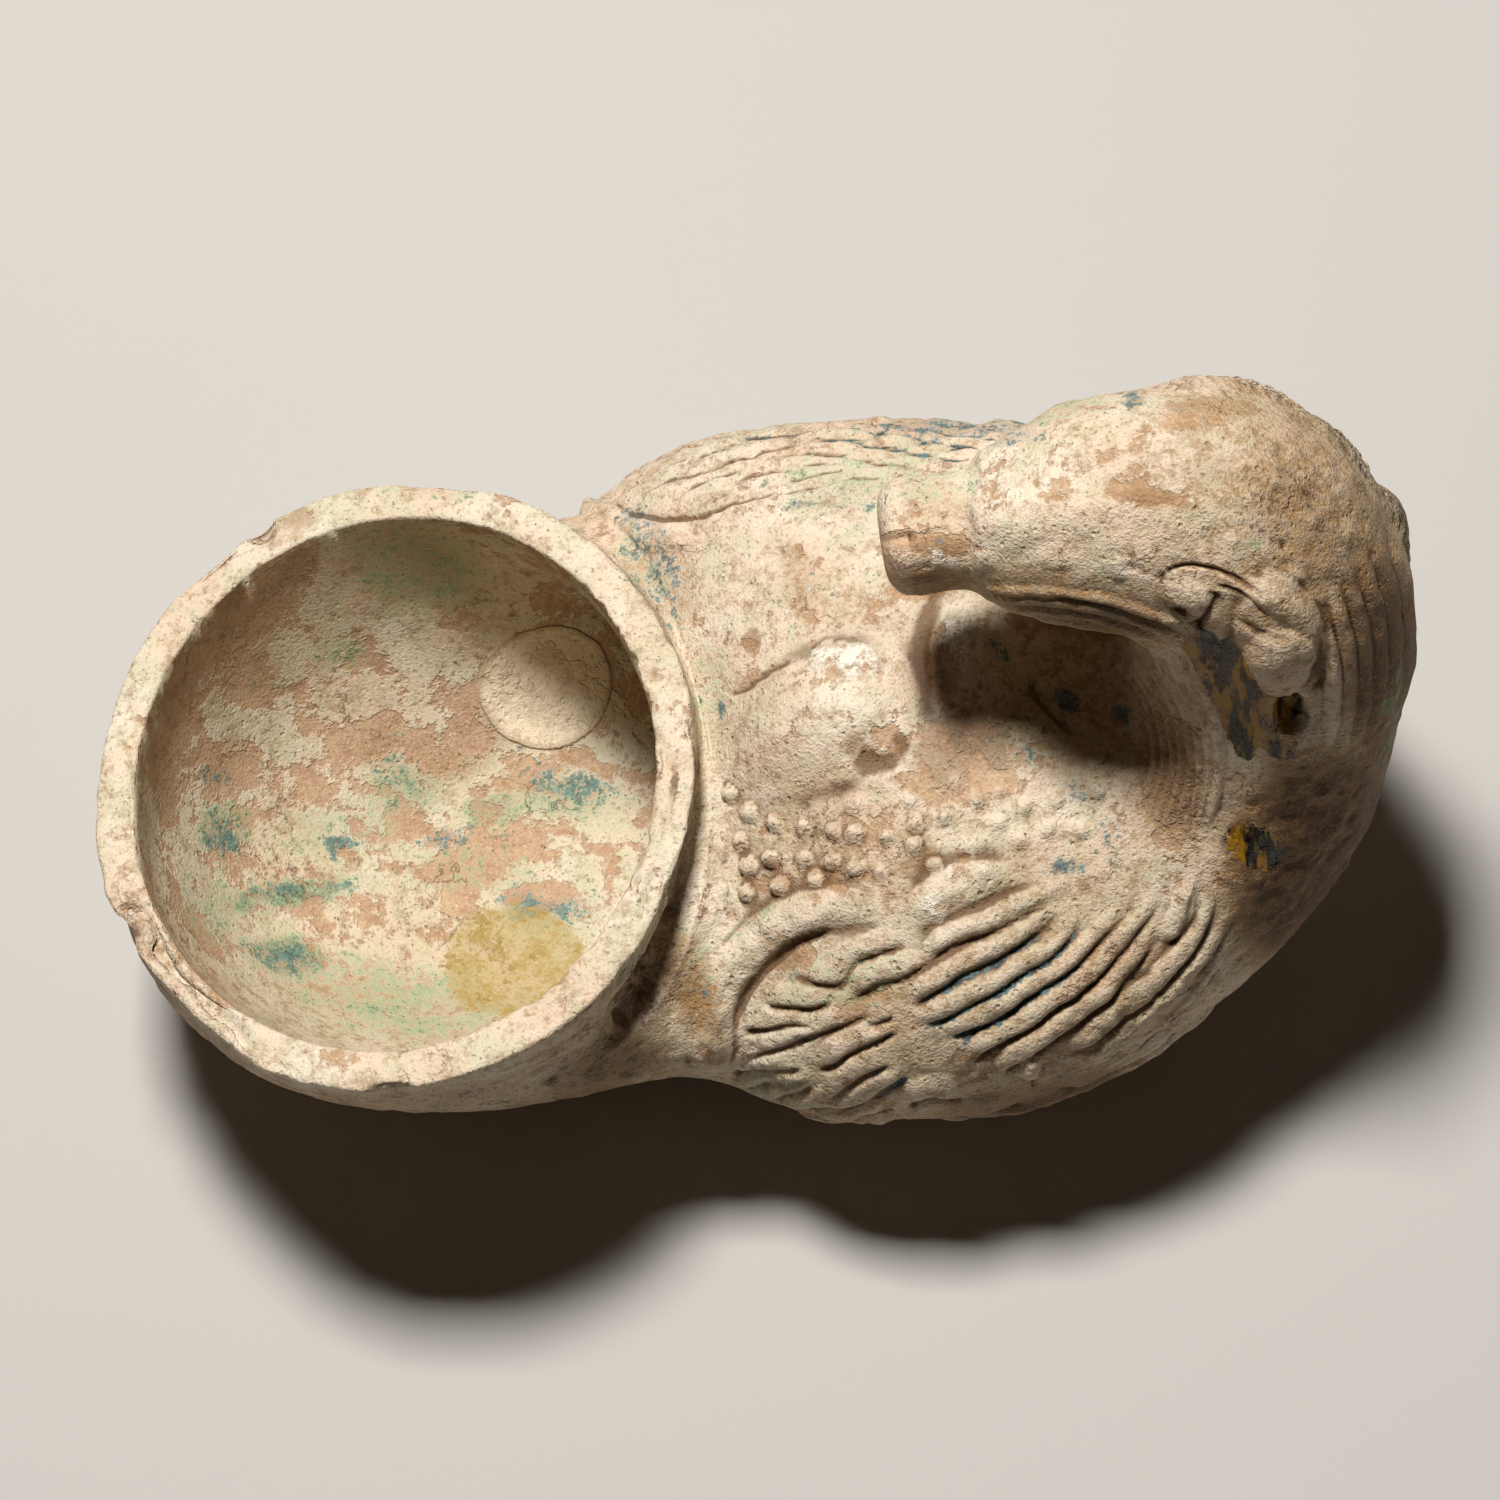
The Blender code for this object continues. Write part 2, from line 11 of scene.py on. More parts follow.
import bpy
import numpy as np
from mathutils import Matrix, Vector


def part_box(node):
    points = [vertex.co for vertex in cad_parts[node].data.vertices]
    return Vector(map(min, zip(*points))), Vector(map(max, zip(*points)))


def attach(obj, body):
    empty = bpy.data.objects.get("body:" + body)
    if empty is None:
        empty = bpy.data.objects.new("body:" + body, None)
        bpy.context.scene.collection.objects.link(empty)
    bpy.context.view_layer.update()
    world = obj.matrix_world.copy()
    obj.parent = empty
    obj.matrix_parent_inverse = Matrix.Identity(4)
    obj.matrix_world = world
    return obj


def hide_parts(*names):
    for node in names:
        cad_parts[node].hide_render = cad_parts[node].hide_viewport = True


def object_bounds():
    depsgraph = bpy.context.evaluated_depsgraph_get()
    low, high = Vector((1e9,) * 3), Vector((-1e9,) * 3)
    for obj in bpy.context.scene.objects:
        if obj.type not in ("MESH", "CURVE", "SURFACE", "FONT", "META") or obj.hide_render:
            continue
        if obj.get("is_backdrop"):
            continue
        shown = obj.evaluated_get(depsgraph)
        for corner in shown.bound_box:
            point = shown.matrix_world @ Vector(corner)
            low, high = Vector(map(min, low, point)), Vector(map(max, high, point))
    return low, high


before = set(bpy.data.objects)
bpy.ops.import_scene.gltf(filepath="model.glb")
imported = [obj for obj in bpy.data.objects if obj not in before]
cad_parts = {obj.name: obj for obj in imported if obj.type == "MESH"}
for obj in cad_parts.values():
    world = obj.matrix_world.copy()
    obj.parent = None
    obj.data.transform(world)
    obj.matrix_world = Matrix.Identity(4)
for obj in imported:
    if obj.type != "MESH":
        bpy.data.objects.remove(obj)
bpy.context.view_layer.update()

# %% [markdown]
# ## How fine the surface is
# The vessel is one closed skin of rings, like the coils of a pot: up the hollow, over the lip, down
# the outside and along the neck to the muzzle.
# %% Fineness
FINE = 2
AROUND = 240 * FINE
RINGS_OUTSIDE = 215 * FINE
RINGS_HOLLOW = 64 * FINE
RINGS_LIP = 6 * FINE
RINGS_MUZZLE = 7 * FINE
TRIANGLES_LEFT = 196000
MM = 0.001
print("points around:", AROUND, "rings outside:", RINGS_OUTSIDE)

# %% [markdown]
# ## Three small tools for curves
# A potter works by eye between a few marks. These do the same: they pass one smooth curve through a
# few chosen values, share points evenly along it, and step gently from 0 to 1.
# %% Curves


def smooth(knots, values, at):
    """Cubic pieces that pass through the values, with the slope at each knot taken from its neighbours."""
    values = np.asarray(values, float)
    slopes = np.gradient(values, knots, axis=0)
    low = np.clip(np.searchsorted(knots, at, side="right") - 1, 0, len(knots) - 2)
    span = (knots[low + 1] - knots[low])[:, None]
    t = ((at - knots[low])[:, None]) / span
    start, end = values[low], values[low + 1]
    rise = end - start
    return (
        start
        + t * span * slopes[low]
        + t**2 * (3 * rise - span * (2 * slopes[low] + slopes[low + 1]))
        + t**3 * (span * (slopes[low] + slopes[low + 1]) - 2 * rise)
    )


def path(points, count):
    """Points evenly shared along the smooth curve through a few chosen ones."""
    points = np.asarray(points, float)
    knots = np.concatenate([[0], np.cumsum(np.linalg.norm(np.diff(points, axis=0), axis=1))])
    return smooth(knots, points, np.linspace(0, knots[-1], count))


def ease(values, low, high):
    """3t^2 - 2t^3, where t runs from 0 at low to 1 at high and is held there outside them."""
    t = np.clip((values - low) / (high - low), 0, 1)
    return t * t * (3 - 2 * t)


print("an eased step is %.3f a quarter of the way up" % ease(0.25, 0, 1))

# %% [markdown]
# ## The form between two rails
# Seen from the side, the vessel lies between an inner rail (back, throat and jaw) and an outer rail
# (belly, breast, nape and crown). Each station is one cross-section held between them. The numbers
# are the same as in the part's own source, so the dressed piece stays on the solid.
# %% Stations
MIDDLE = np.array([1.2, 0.5, 0.0])
# inner x, inner z, outer x, outer z, share of the way up that is widest, half width, lean,
# power above and below the widest line, lift and forward shift of each millimetre to the far side
STATIONS = np.array([
    (-3.4, 41.6, -63.6, 34.8, 0.50, 33.2, 0.9, 2.0, 2.0, -0.11, 0.00),
    (-3.3, 39.4, -62.6, 25.0, 0.54, 32.4, 0.9, 2.0, 2.0, -0.08, 0.00),
    (-3.0, 38.2, -55.4, 10.6, 0.60, 31.2, 0.9, 2.0, 2.0, -0.04, -0.01),
    (-2.6, 37.8, -37.0, 0.8, 0.68, 29.9, 1.3, 2.0, 2.0, 0.00, -0.04),
    (-1.6, 38.6, -17.0, -1.2, 0.70, 30.8, 2.1, 2.0, 2.1, 0.00, -0.10),
    (2.5, 42.0, -5.0, -1.2, 0.64, 34.6, 1.3, 2.0, 2.2, 0.00, -0.10),
    (13.0, 46.5, 12.0, -1.2, 0.56, 36.4, 0.6, 2.1, 2.2, 0.00, -0.05),
    (25.0, 47.0, 28.0, -0.8, 0.55, 34.6, -0.5, 2.1, 2.3, 0.00, 0.00),
    (34.0, 47.5, 47.0, 6.5, 0.57, 30.2, -0.2, 2.1, 2.3, 0.00, 0.00),
    (37.2, 49.0, 61.0, 24.0, 0.56, 24.2, 0.1, 2.0, 2.4, 0.00, 0.00),
    (38.6, 51.5, 65.0, 43.0, 0.50, 18.8, 0.1, 2.0, 2.2, 0.00, 0.00),
    (39.0, 54.5, 63.8, 62.0, 0.50, 15.0, 0.1, 2.0, 2.0, 0.00, 0.00),
    (38.6, 57.5, 57.8, 75.8, 0.50, 13.5, 1.0, 2.0, 2.0, 0.00, 0.00),
    (37.6, 59.5, 50.0, 81.6, 0.50, 12.8, 2.3, 2.0, 2.0, 0.00, 0.00),
    (35.4, 61.0, 42.0, 82.8, 0.50, 11.0, 3.0, 2.1, 2.1, 0.00, 0.00),
    (31.5, 62.0, 33.5, 81.0, 0.50, 9.7, 3.7, 2.2, 2.2, 0.00, 0.00),
    (25.2, 63.2, 25.2, 77.2, 0.50, 6.6, 4.4, 2.3, 2.3, 0.00, 0.00),
    (24.3, 64.2, 24.3, 76.0, 0.50, 5.8, 4.5, 2.4, 2.4, 0.00, 0.00),
    (18.4, 64.6, 18.4, 75.0, 0.50, 5.4, 4.7, 2.5, 2.5, 0.00, 0.00),
])
WAIST, BREAST, NECK, NAPE, CROWN, BROW = 4, 8, 10, 11, 13, 14
INNER, OUTER = STATIONS[:, 0:2], STATIONS[:, 2:4]
STEPS = (np.linalg.norm(np.diff((INNER + OUTER) / 2, axis=0), axis=1)
         + 0.3 * np.linalg.norm(np.diff(OUTER - INNER, axis=0), axis=1))
KNOTS = np.concatenate([[0], np.cumsum(STEPS)]) / STEPS.sum()
print(len(STATIONS), "stations")

# %% Rings and normals

def station_at(number):
    """How far along the form a station is, from 0 at the lip to 1 at the muzzle."""
    return np.interp(number, range(len(KNOTS)), KNOTS)


def part_way(at, low, high):
    """0 before one station, 1 past the other, and an eased step between them."""
    return ease(at, station_at(low), station_at(high))


def rings(at, inset=0.0, shrink=1.0):
    """Superellipses |cos|^(2/p), |sin|^(2/p) hung between the rails, drawn in by inset, shrunk by shrink."""
    read = smooth(KNOTS, STATIONS, np.asarray(at, float))
    inner, outer = read[:, 0:2], read[:, 2:4]
    widest, half_width, lean, power_up, power_down, raised, skewed = read[:, 4:].T
    toward_outer = (outer - inner) / np.linalg.norm(outer - inner, axis=1)[:, None]
    inset = np.broadcast_to(inset, len(inner))[:, None]
    shrink = np.broadcast_to(shrink, len(inner))[:, None]
    inner = inner + toward_outer * inset
    outer = outer - toward_outer * inset
    centre = outer + (inner - outer) * widest[:, None]
    angle = np.linspace(0, 2 * math.pi, AROUND, endpoint=False)
    cosine, sine = np.cos(angle)[None], np.sin(angle)[None]
    power = np.where(cosine >= 0, power_up[:, None], power_down[:, None])
    height = np.abs(cosine) ** (2 / power) * shrink
    side = np.sign(sine) * np.abs(sine) ** (2 / power) * shrink
    reach = np.where(cosine[..., None] >= 0, (inner - centre)[:, None], (outer - centre)[:, None])
    across = side * (half_width[:, None] - inset)
    points = np.empty((len(inner), AROUND, 3))
    points[..., 0] = centre[:, None, 0] + reach[..., 0] * height + skewed[:, None] * across
    points[..., 1] = lean[:, None] + across
    points[..., 2] = centre[:, None, 1] + reach[..., 1] * height + raised[:, None] * across
    return points


def normals(points):
    """Cross product of the step along the form and the step round the ring, made one long."""
    along = np.gradient(points, axis=0)
    around = np.roll(points, -1, axis=1) - np.roll(points, 1, axis=1)
    found = np.cross(along, around)
    return found / np.maximum(np.linalg.norm(found, axis=-1, keepdims=True), 1e-9)


print("the breast's ring is %.1f mm wide" % np.ptp(rings([station_at(BREAST)])[..., 1]))

# %% [markdown]
# ## A sheet to draw the carving on
# Carving and stains are laid out like a pattern on tracing paper held over the vessel at the angle
# from which it is best seen. Each point of clay asks where it shows on that sheet. On the flanks, past
# the sheet's edge, the drawing is carried on by the length of the clay, so that it isn't stretched.
# %% The sheet
SHEET_TILT = math.radians(22)
SHEET_TURN = math.radians(8)
SHEET_DISTANCE = 500
SHEET_ANCHOR = np.array([11.0, 0.0, 25.0])
SHEET_ANCHOR_AT = (10.0, -2.3)
SHEET_EDGE_HIGH, SHEET_EDGE_LOW = 0.30, 0.10

TILT_UP = np.array([0, math.cos(SHEET_TILT), math.sin(SHEET_TILT)])
TOWARD = np.array([0, -math.sin(SHEET_TILT), math.cos(SHEET_TILT)])
AHEAD = np.array([1.0, 0, 0])
RIGHT = math.cos(SHEET_TURN) * AHEAD - math.sin(SHEET_TURN) * TILT_UP
UP = math.sin(SHEET_TURN) * AHEAD + math.cos(SHEET_TURN) * TILT_UP


def on_sheet(points):
    """Perspective: the offset along right and up, times distance over (distance - depth)."""
    offset = points - SHEET_ANCHOR
    scale = SHEET_DISTANCE / (SHEET_DISTANCE - offset @ TOWARD)
    across = (offset @ RIGHT + SHEET_ANCHOR_AT[0]) * scale
    along = (offset @ UP + SHEET_ANCHOR_AT[1]) * scale
    return np.stack([across, along], -1)


def rolled_on(sheet_places, points, facing):
    """The sheet carried on round the flanks: past its edge, height on it goes on as length of clay."""
    steps = np.linalg.norm(np.diff(points, axis=1), axis=-1)
    drops = np.diff(sheet_places[..., 1], axis=1)
    edge_on = ease((facing[:, 1:] + facing[:, :-1]) / 2, SHEET_EDGE_HIGH, SHEET_EDGE_LOW)
    down = np.cumsum(drops * (1 - edge_on) - steps * edge_on, axis=1)
    carried = sheet_places.copy()
    carried[:, 1:, 1] = sheet_places[:, :1, 1] + down
    return carried


def on_wing_sheet(points, outward):
    """Both flanks folded to the near side and laid on the sheet, carried on past its edge."""
    near_half = -np.arange(AROUND // 2 + 1)
    near_points, near_outward = points[:, near_half], outward[:, near_half]
    laid = rolled_on(on_sheet(near_points), near_points, near_outward @ TOWARD)
    far_half = np.arange(1, AROUND // 2)
    whole = np.empty(points.shape[:2] + (2,))
    whole[:, near_half] = laid
    whole[:, far_half] = laid[:, far_half]
    return whole


print("the mouth's middle lies on the sheet at", np.round(on_sheet(rings([0.0])).mean(axis=(0, 1)), 1))

# %% [markdown]
# ## Marks of the hand
# Two marks make nearly all of the carving: a ridge drawn along a line, and a dome pressed on a spot.
# Real clay is never even, so a third tool gives a smooth random field, used for thumbed unevenness,
# for lines that waver, and for pits where the surface has rotted.
# %% Ridges and domes
# Points drawn for each one given, from how many a line is fine as it is, and points of a line between guides
SMOOTHED, DRAWN_FINE, SAMPLES = 6, 20, 24
END_WIDTH = 0.45  # how wide a ridge still is where it fades out


def near_path(places, line):
    """Least distance to the segments of a line, and the share of the line at which it is reached."""
    best = np.full(len(places), np.inf)
    share = np.zeros(len(places))
    for k in range(len(line) - 1):
        step = line[k + 1] - line[k]
        t = np.clip((places - line[k]) @ step / (step @ step), 0, 1)
        distance = np.linalg.norm(places - line[k] - t[:, None] * step, axis=1)
        nearer = distance < best
        best = np.where(nearer, distance, best)
        share = np.where(nearer, (k + t) / (len(line) - 1), share)
    return best, share


def ridge(places, line, half_width, fade=(0.15, 0.15), power=1.5):
    """(1 - (distance / width)^2)^power along a line, narrowed and lowered over a share of each end."""
    line = path(line, SMOOTHED * len(line)) if len(line) < DRAWN_FINE else np.asarray(line)
    low, high = line.min(axis=0) - half_width, line.max(axis=0) + half_width
    close = np.all((places > low) & (places < high), axis=-1)
    height = np.zeros(len(places))
    if close.any():
        distance, share = near_path(places[close], line)
        kept = (ease(share, 0, fade[0]) if fade[0] else 1) * (ease(1 - share, 0, fade[1]) if fade[1] else 1)
        width = half_width * (END_WIDTH + (1 - END_WIDTH) * kept)
        height[close] = kept * np.clip(1 - (distance / width) ** 2, 0, 1) ** power
    return height


def dome(places, middle, radii, turn=0.0, power=1.0):
    """(1 - (long / radius)^2 - (wide / radius)^2)^power inside an oval turned by some degrees."""
    radii = (radii, radii) if np.isscalar(radii) else radii
    cosine, sine = math.cos(math.radians(turn)), math.sin(math.radians(turn))
    offset = places - np.asarray(middle)
    long = (offset[..., 0] * cosine + offset[..., 1] * sine) / radii[0]
    wide = (offset[..., 1] * cosine - offset[..., 0] * sine) / radii[1]
    return np.clip(1 - long**2 - wide**2, 0, 1) ** power


def between(guides, count):
    """Lines that pass in turn through each guide, evenly shared along them."""
    crossings = np.stack([path(guide, count) for guide in guides], axis=1)
    return [path(crossing, SAMPLES) for crossing in crossings]


def highest(places, lines, height, half_width, fade, power):
    """The greatest at each point of one kind of ridge drawn along each of some lines."""
    return height * np.max([ridge(places, line, half_width, fade, power) for line in lines], axis=0)


def pressed(places, domes, ridges=()):
    """The sum of some domes and ridges, each given as its height in millimetres and then its shape."""
    height = np.zeros(places.shape[:-1])
    for mark, shapes in ((dome, domes), (ridge, ridges)):
        for rise, *shape in shapes:
            height += rise * mark(places, *shape)
    return height


print("a dome half way out is %.2f high" % dome(np.array([0.5, 0.0]), (0, 0), 1))

# %% Unevenness
LATTICE = 48


def uneven(points, size, seed):
    """Random values from -1 to 1 on a lattice of cubes of this size, blended with eased weights."""
    values = np.random.default_rng(seed).uniform(-1, 1, (LATTICE,) * 3)
    place = points / size
    corner = np.floor(place).astype(int)
    t = place - corner
    t = t * t * (3 - 2 * t)
    total = np.zeros(points.shape[:-1])
    for step in itertools.product((0, 1), repeat=3):
        weight = np.prod(np.where(np.array(step) == 1, t, 1 - t), axis=-1)
        cell = (corner + step) % LATTICE
        total += weight * values[cell[..., 0], cell[..., 1], cell[..., 2]]
    return total


def stirred(points, layers):
    """The sum of several random fields, each given as its height, its size in millimetres and its seed."""
    return sum(height * uneven(points, size, seed) for height, size, seed in layers)


print("random values on the lattice:", LATTICE**3)

# %% [markdown]
# ## The wing
# Each wing is a padded arm that curls round the shoulder, short lozenge-shaped coverts behind it, and
# long rounded quills that sweep up to the breast. They were cut with a point while the clay was soft,
# so they waver, run into one another and end in blunt hooks. Every line below is a groove or ridge
# read off in millimetres on the sheet, and the far wing is its mirror image.
# %% Wing
WING_ARM = [
    (-3.3, -33), (-3.9, -28.6), (-3, -24.6), (-1, -21.2), (1.9, -18.4), (5.1, -16.4), (9, -15.5),
    (12.9, -15.9), (15.8, -17),
]
WING_ARM_CUT = [(-1.5, -28.4), (-0.7, -24.9), (1.4, -21.7), (4.5, -19.4), (8.3, -18.1), (11.3, -17.7)]
SHOULDER_PAD = [(16.4, -18), (17.9, -15.6), (20.4, -14), (24, -12.6), (28.6, -12.2)]
QUILLS = [
    [(17, -20.7), (19.7, -18.6), (23.6, -17.1), (27.2, -15.4), (30.1, -14.1), (32.6, -12.6)],
    [(15.2, -24.8), (18.6, -22.9), (22.2, -20.7), (26.1, -18.4), (29.4, -16.2), (31.5, -13.9)],
    [(16.1, -27), (19, -25.7), (22.6, -24), (26.1, -21.7), (29.7, -19.5), (31.9, -16.8), (33, -14.3)],
    [(18.6, -28.2), (21.1, -27.1), (24.7, -25.4), (28.3, -23.2), (31.9, -20.7), (34.4, -18.2), (36.9, -15.7),
     (38.5, -13.8)],
    [(21.6, -32.2), (22.2, -30.2), (23.6, -28.9), (26.9, -27.1), (30.4, -25), (33.6, -22.5), (36.5, -19.6),
     (39, -16.8), (40.7, -13.9), (41.2, -12)],
    [(25, -33.2), (25.2, -31.2), (26.5, -30.1), (29.7, -28.2), (32.9, -26.1), (35.8, -23.6), (38.3, -20.7),
     (40.4, -18), (41.7, -15.7)],
    [(28.2, -32.9), (28.2, -31.1), (29.4, -30.4)],
    [(41.5, -19.4), (42.6, -16.8), (43.7, -13.9), (44.3, -11.8)],
    [(31, -30), (34, -28.4), (36.5, -26.2), (39.4, -24.1), (42.2, -21.4), (44.4, -18.9), (45.8, -16.1),
     (46.7, -13.2), (47.2, -11.4)],
    [(31.5, -31.8), (34.7, -30.2), (37.9, -27.9), (40.8, -25.4), (43.6, -22.7), (46.1, -19.6), (47.8, -16.8),
     (48.7, -13.9)],
    [(35.4, -30.7), (39, -28.2), (42.2, -25.7), (45.4, -22.5), (47.9, -19.3)],
]
COVERTS = [
    [(3.4, -20.7), (5.8, -21.9), (8.6, -22.1), (9.9, -20.6), (12.6, -19.4), (15.8, -18.5)],
    [(1, -24.4), (4.4, -24.6), (7.8, -24.3)], [(9.4, -23.8), (11.9, -22.6), (15.1, -21.4), (17.2, -20.2)],
    [(-1, -27.2), (2.9, -26.5), (6.3, -26.4)], [(11.1, -26.7), (13.9, -25.6)],
    [(-1.4, -29.7), (1.9, -28.9), (5.8, -27.6), (9, -26.5), (12.2, -25.2)],
    [(-2.5, -31.5), (1.1, -30.7), (5.2, -30.5)], [(6.1, -31.2), (9.4, -29.7), (12.6, -27.9), (14.6, -27.1)],
    [(-1.5, -33), (1.9, -32.2), (5.8, -31.5)], [(7.2, -33.8), (10.4, -32.2), (14.2, -30.4)],
    [(1.1, -34.7), (3.3, -33.4), (6.5, -32.2)], [(3.1, -35.8), (6.1, -34.7), (9.4, -34.6), (12, -34.3)],
    [(8.3, -35.2), (11.9, -33.6), (15.8, -31.7)], [(15.4, -34.9), (17.6, -34), (21.1, -34.3)],
    [(5.8, -36.6), (10.1, -36.1), (14.4, -35.1)],
]
LOW_FEATHERS = [
    [(14.5, -37.5), (20, -36.4), (27, -34.8)], [(18, -39.5), (26, -37.8), (34, -34.6)],
    [(30, -33.4), (36, -31.4), (43, -27.6)], [(4, -39.5), (9, -38.8), (15, -38.6)],
    [(24, -41.5), (32, -39.2), (40, -34.5)],
    [(26.4, -36.6), (32.6, -35.6), (38.8, -33.2), (43.8, -29.5), (47.5, -25.6)],
    [(37.6, -29.8), (41.3, -26.8), (45.6, -22.4)],
]
FAR_GUIDES = [
    [(-8.4, 27.6), (-7, 22.6)], [(1, 31.2), (2, 24.6)], [(13, 32.4), (13.6, 26.4)], [(28, 33.4), (28, 29)],
]
FAR_STRANDS, FAR_STRAND = 7, (0.55, 0.55, (0.15, 0.1), 1.0)
print("feathers drawn:", len(QUILLS + COVERTS + LOW_FEATHERS))

# %% Carving of the wing
# Lines, height in mm, half width, share faded at the start and at the end, power of the profile
WING_RAISED = [
    ([WING_ARM], 1.25, 2.5, (0.10, 0.35), 1.1), ([SHOULDER_PAD], 1.15, 2.5, (0.2, 0.5), 1.1),
    (QUILLS, 0.90, 1.28, (0.16, 0.40), 0.95), (COVERTS, 0.62, 1.50, (0.26, 0.26), 0.65),
    (LOW_FEATHERS, 0.60, 1.20, (0.2, 0.2), 1.0),
]
# The same for the cuts, and how far each is drawn beside its line
CUT_BELOW = (0.35, -1.15)
WING_CUTS = [
    (COVERTS + LOW_FEATHERS, 0.55, 0.45, (0.15, 0.15), 0.9, CUT_BELOW),
    (QUILLS, 0.35, 0.40, (0.15, 0.30), 1.0, CUT_BELOW),
    ([WING_ARM_CUT], 1.0, 0.62, (0.15, 0.35), 0.9, (0, 0)),
]


def wing_relief(places):
    """The greatest of all the ridges at each point, less a cut below each feather and inside the arm."""
    height = np.max([highest(places, *kind) for kind in WING_RAISED], axis=0)
    for lines, depth, half_width, fade, power, beside in WING_CUTS:
        for line in lines:
            height -= depth * ridge(places, np.array(line) + beside, half_width, fade, power)
    return height


def far_wing_relief(places):
    """Fine parallel ridges, where the far wing's long feathers lie along the top of the back."""
    return highest(places, between(FAR_GUIDES, FAR_STRANDS), *FAR_STRAND)


print("the arm stands %.2f mm up at its middle" % wing_relief(np.array([WING_ARM[4]]))[0])

# %% [markdown]
# ## The back
# Between the wings are two low mounds and rows of beads, like a studded saddle cloth. The beads are
# pellets a millimetre or two across, crisp near the cup and worn almost flat near the throat.
# Old mends and decayed glaze leave raised scabs and pitted hollows.
# %% Back
BEADS = [
    (-2.1, -4.3), (-0.1, -6.2), (2.4, -7.3), (5.3, -7.8), (8.2, -8), (10.5, -8.3), (13.6, -8.6), (16.7, -7.3),
    (19.3, -6.7), (-3, -10), (-1.1, -9.1), (-0.2, -11.6), (2, -10.9), (5.4, -10.8), (8, -11.1), (10.5, -11.8),
    (13.1, -12.3), (16.4, -9.5), (18.4, -11.5), (-3, -14), (-0.4, -14.3), (2.9, -13.6), (6.5, -12.9),
    (-6, -23.5), (-8.5, -29.5),
]
WORN_BEADS = [
    (22.6, -4.9), (25, -4.3), (25, -7.3), (27.4, -5.6), (30.6, -5), (34.7, -4.2), (33.1, -8), (22.2, -9.6),
    (27, -9), (29.8, -7.9), (10.4, -5.4), (16, -5), (20.6, -3.2), (23.4, -12),
]
# Domes: height in mm, middle, radii, turn in degrees, power of the profile
MOUNDS = [(2.4, (7, 3), (12, 7.4), 25, 1.8), (3, (23.2, 10.6), (6.6, 10.4), -10, 2)]
# A groove and a mended crack: height in mm, line, half width
BACK_LINES = [
    (-0.45, [(27.7, 6.5), (29.4, 4.2), (31.3, 2.3), (32.7, 1.1)], 0.5),
    (-0.3, [(-2.9, 5.6), (-0.4, 6.2), (2.4, 7.9), (4.4, 8.7)], 0.4),
]
# Each bead's height, radius and power, and by how much every third is lower and every second wider
BEAD_HEIGHT, BEAD_RADIUS, BEAD_POWER, BEAD_LOWER, BEAD_WIDER = 1.05, 0.86, 0.55, 0.20, 0.12
WORN_HEIGHT, WORN_RADIUS, WORN_POWER = 0.62, 0.95, 0.6
MOAT_DEPTH, MOAT_RADIUS = 0.15, 1.5
ROTTED_AT, ROTTED_ROUGH, ROTTED_DEPTH = ((12.6, 0.2), (3.6, 3), 0, 0.5), 0.45, 0.25
# Scabs: shape of the dome, and the two levels between which it steps up
SCABS = [((10.2, 8.6), (4.6, 2.2), -12, 0.6, 0.30, 0.45), ((20.6, 10), (3, 3.4), 20, 0.6, 0.35, 0.50)]
SCAB_HEIGHT, SCAB_ROUGH = 0.16, 0.35


def back_relief(places, unevenness):
    """Two broad domes, small steep domes for the beads, and noise that is let in where clay has rotted."""
    beads = [
        (BEAD_HEIGHT - BEAD_LOWER * (k % 3 == 1), middle, BEAD_RADIUS + BEAD_WIDER * (k % 2), 0, BEAD_POWER)
        for k, middle in enumerate(BEADS)]
    beads += [(-MOAT_DEPTH, middle, MOAT_RADIUS) for middle in BEADS]
    beads += [(WORN_HEIGHT, middle, WORN_RADIUS, 0, WORN_POWER) for middle in WORN_BEADS]
    height = pressed(places, MOUNDS + beads, BACK_LINES)
    height += dome(places, *ROTTED_AT) * (ROTTED_ROUGH * unevenness - ROTTED_DEPTH)
    scabs = [ease(dome(places, *shape) + SCAB_ROUGH * unevenness, low, high) for *shape, low, high in SCABS]
    return height + SCAB_HEIGHT * np.max(scabs, axis=0)


print("beads:", len(BEADS), "crisp and", len(WORN_BEADS), "worn")

# %% [markdown]
# ## Neck and mane
# Fine strands run down the throat, and heavier locks of mane hang behind the ear. The breast on that
# side is rough where glaze ran thick and broke away.
# %% Neck
STRAND_GUIDES = [
    [(35.6, 9.8), (43.4, 10.4)], [(39.6, 5.6), (46.2, 4.6)], [(40.6, -0.6), (47, -1.6)],
    [(38, -8.2), (45.6, -8.6)],
]
MANE_GUIDES = [
    [(56.2, 16.4), (60.2, 21), (63.6, 25)], [(57.9, 9.6), (61.8, 13.4), (65.4, 16.8)],
    [(58.2, 3.8), (61.8, 6), (65.6, 8.6)], [(56.9, -2), (60.6, -1.2), (64.4, 1)],
]
# How many, and of each: height in mm, half width, share faded at each end, power of the profile
STRANDS, STRAND = 8, (0.6, 0.62, (0.15, 0.2), 1.0)
LOCKS, LOCK = 6, (0.8, 1.0, (0.35, 0.35), 1.0)
BROKEN_BREAST = (0.45, (54, -11), (9.5, 12), 0, 0.5)


def neck_relief(places, unevenness):
    """Narrow ridges down the throat and wider ones for the locks, with rotted clay on the breast."""
    strands = highest(places, between(STRAND_GUIDES, STRANDS), *STRAND)
    locks = highest(places, between(MANE_GUIDES, LOCKS), *LOCK)
    return np.maximum(strands, locks) + pressed(places, [BROKEN_BREAST]) * unevenness


print("strands:", STRANDS, "locks:", LOCKS)

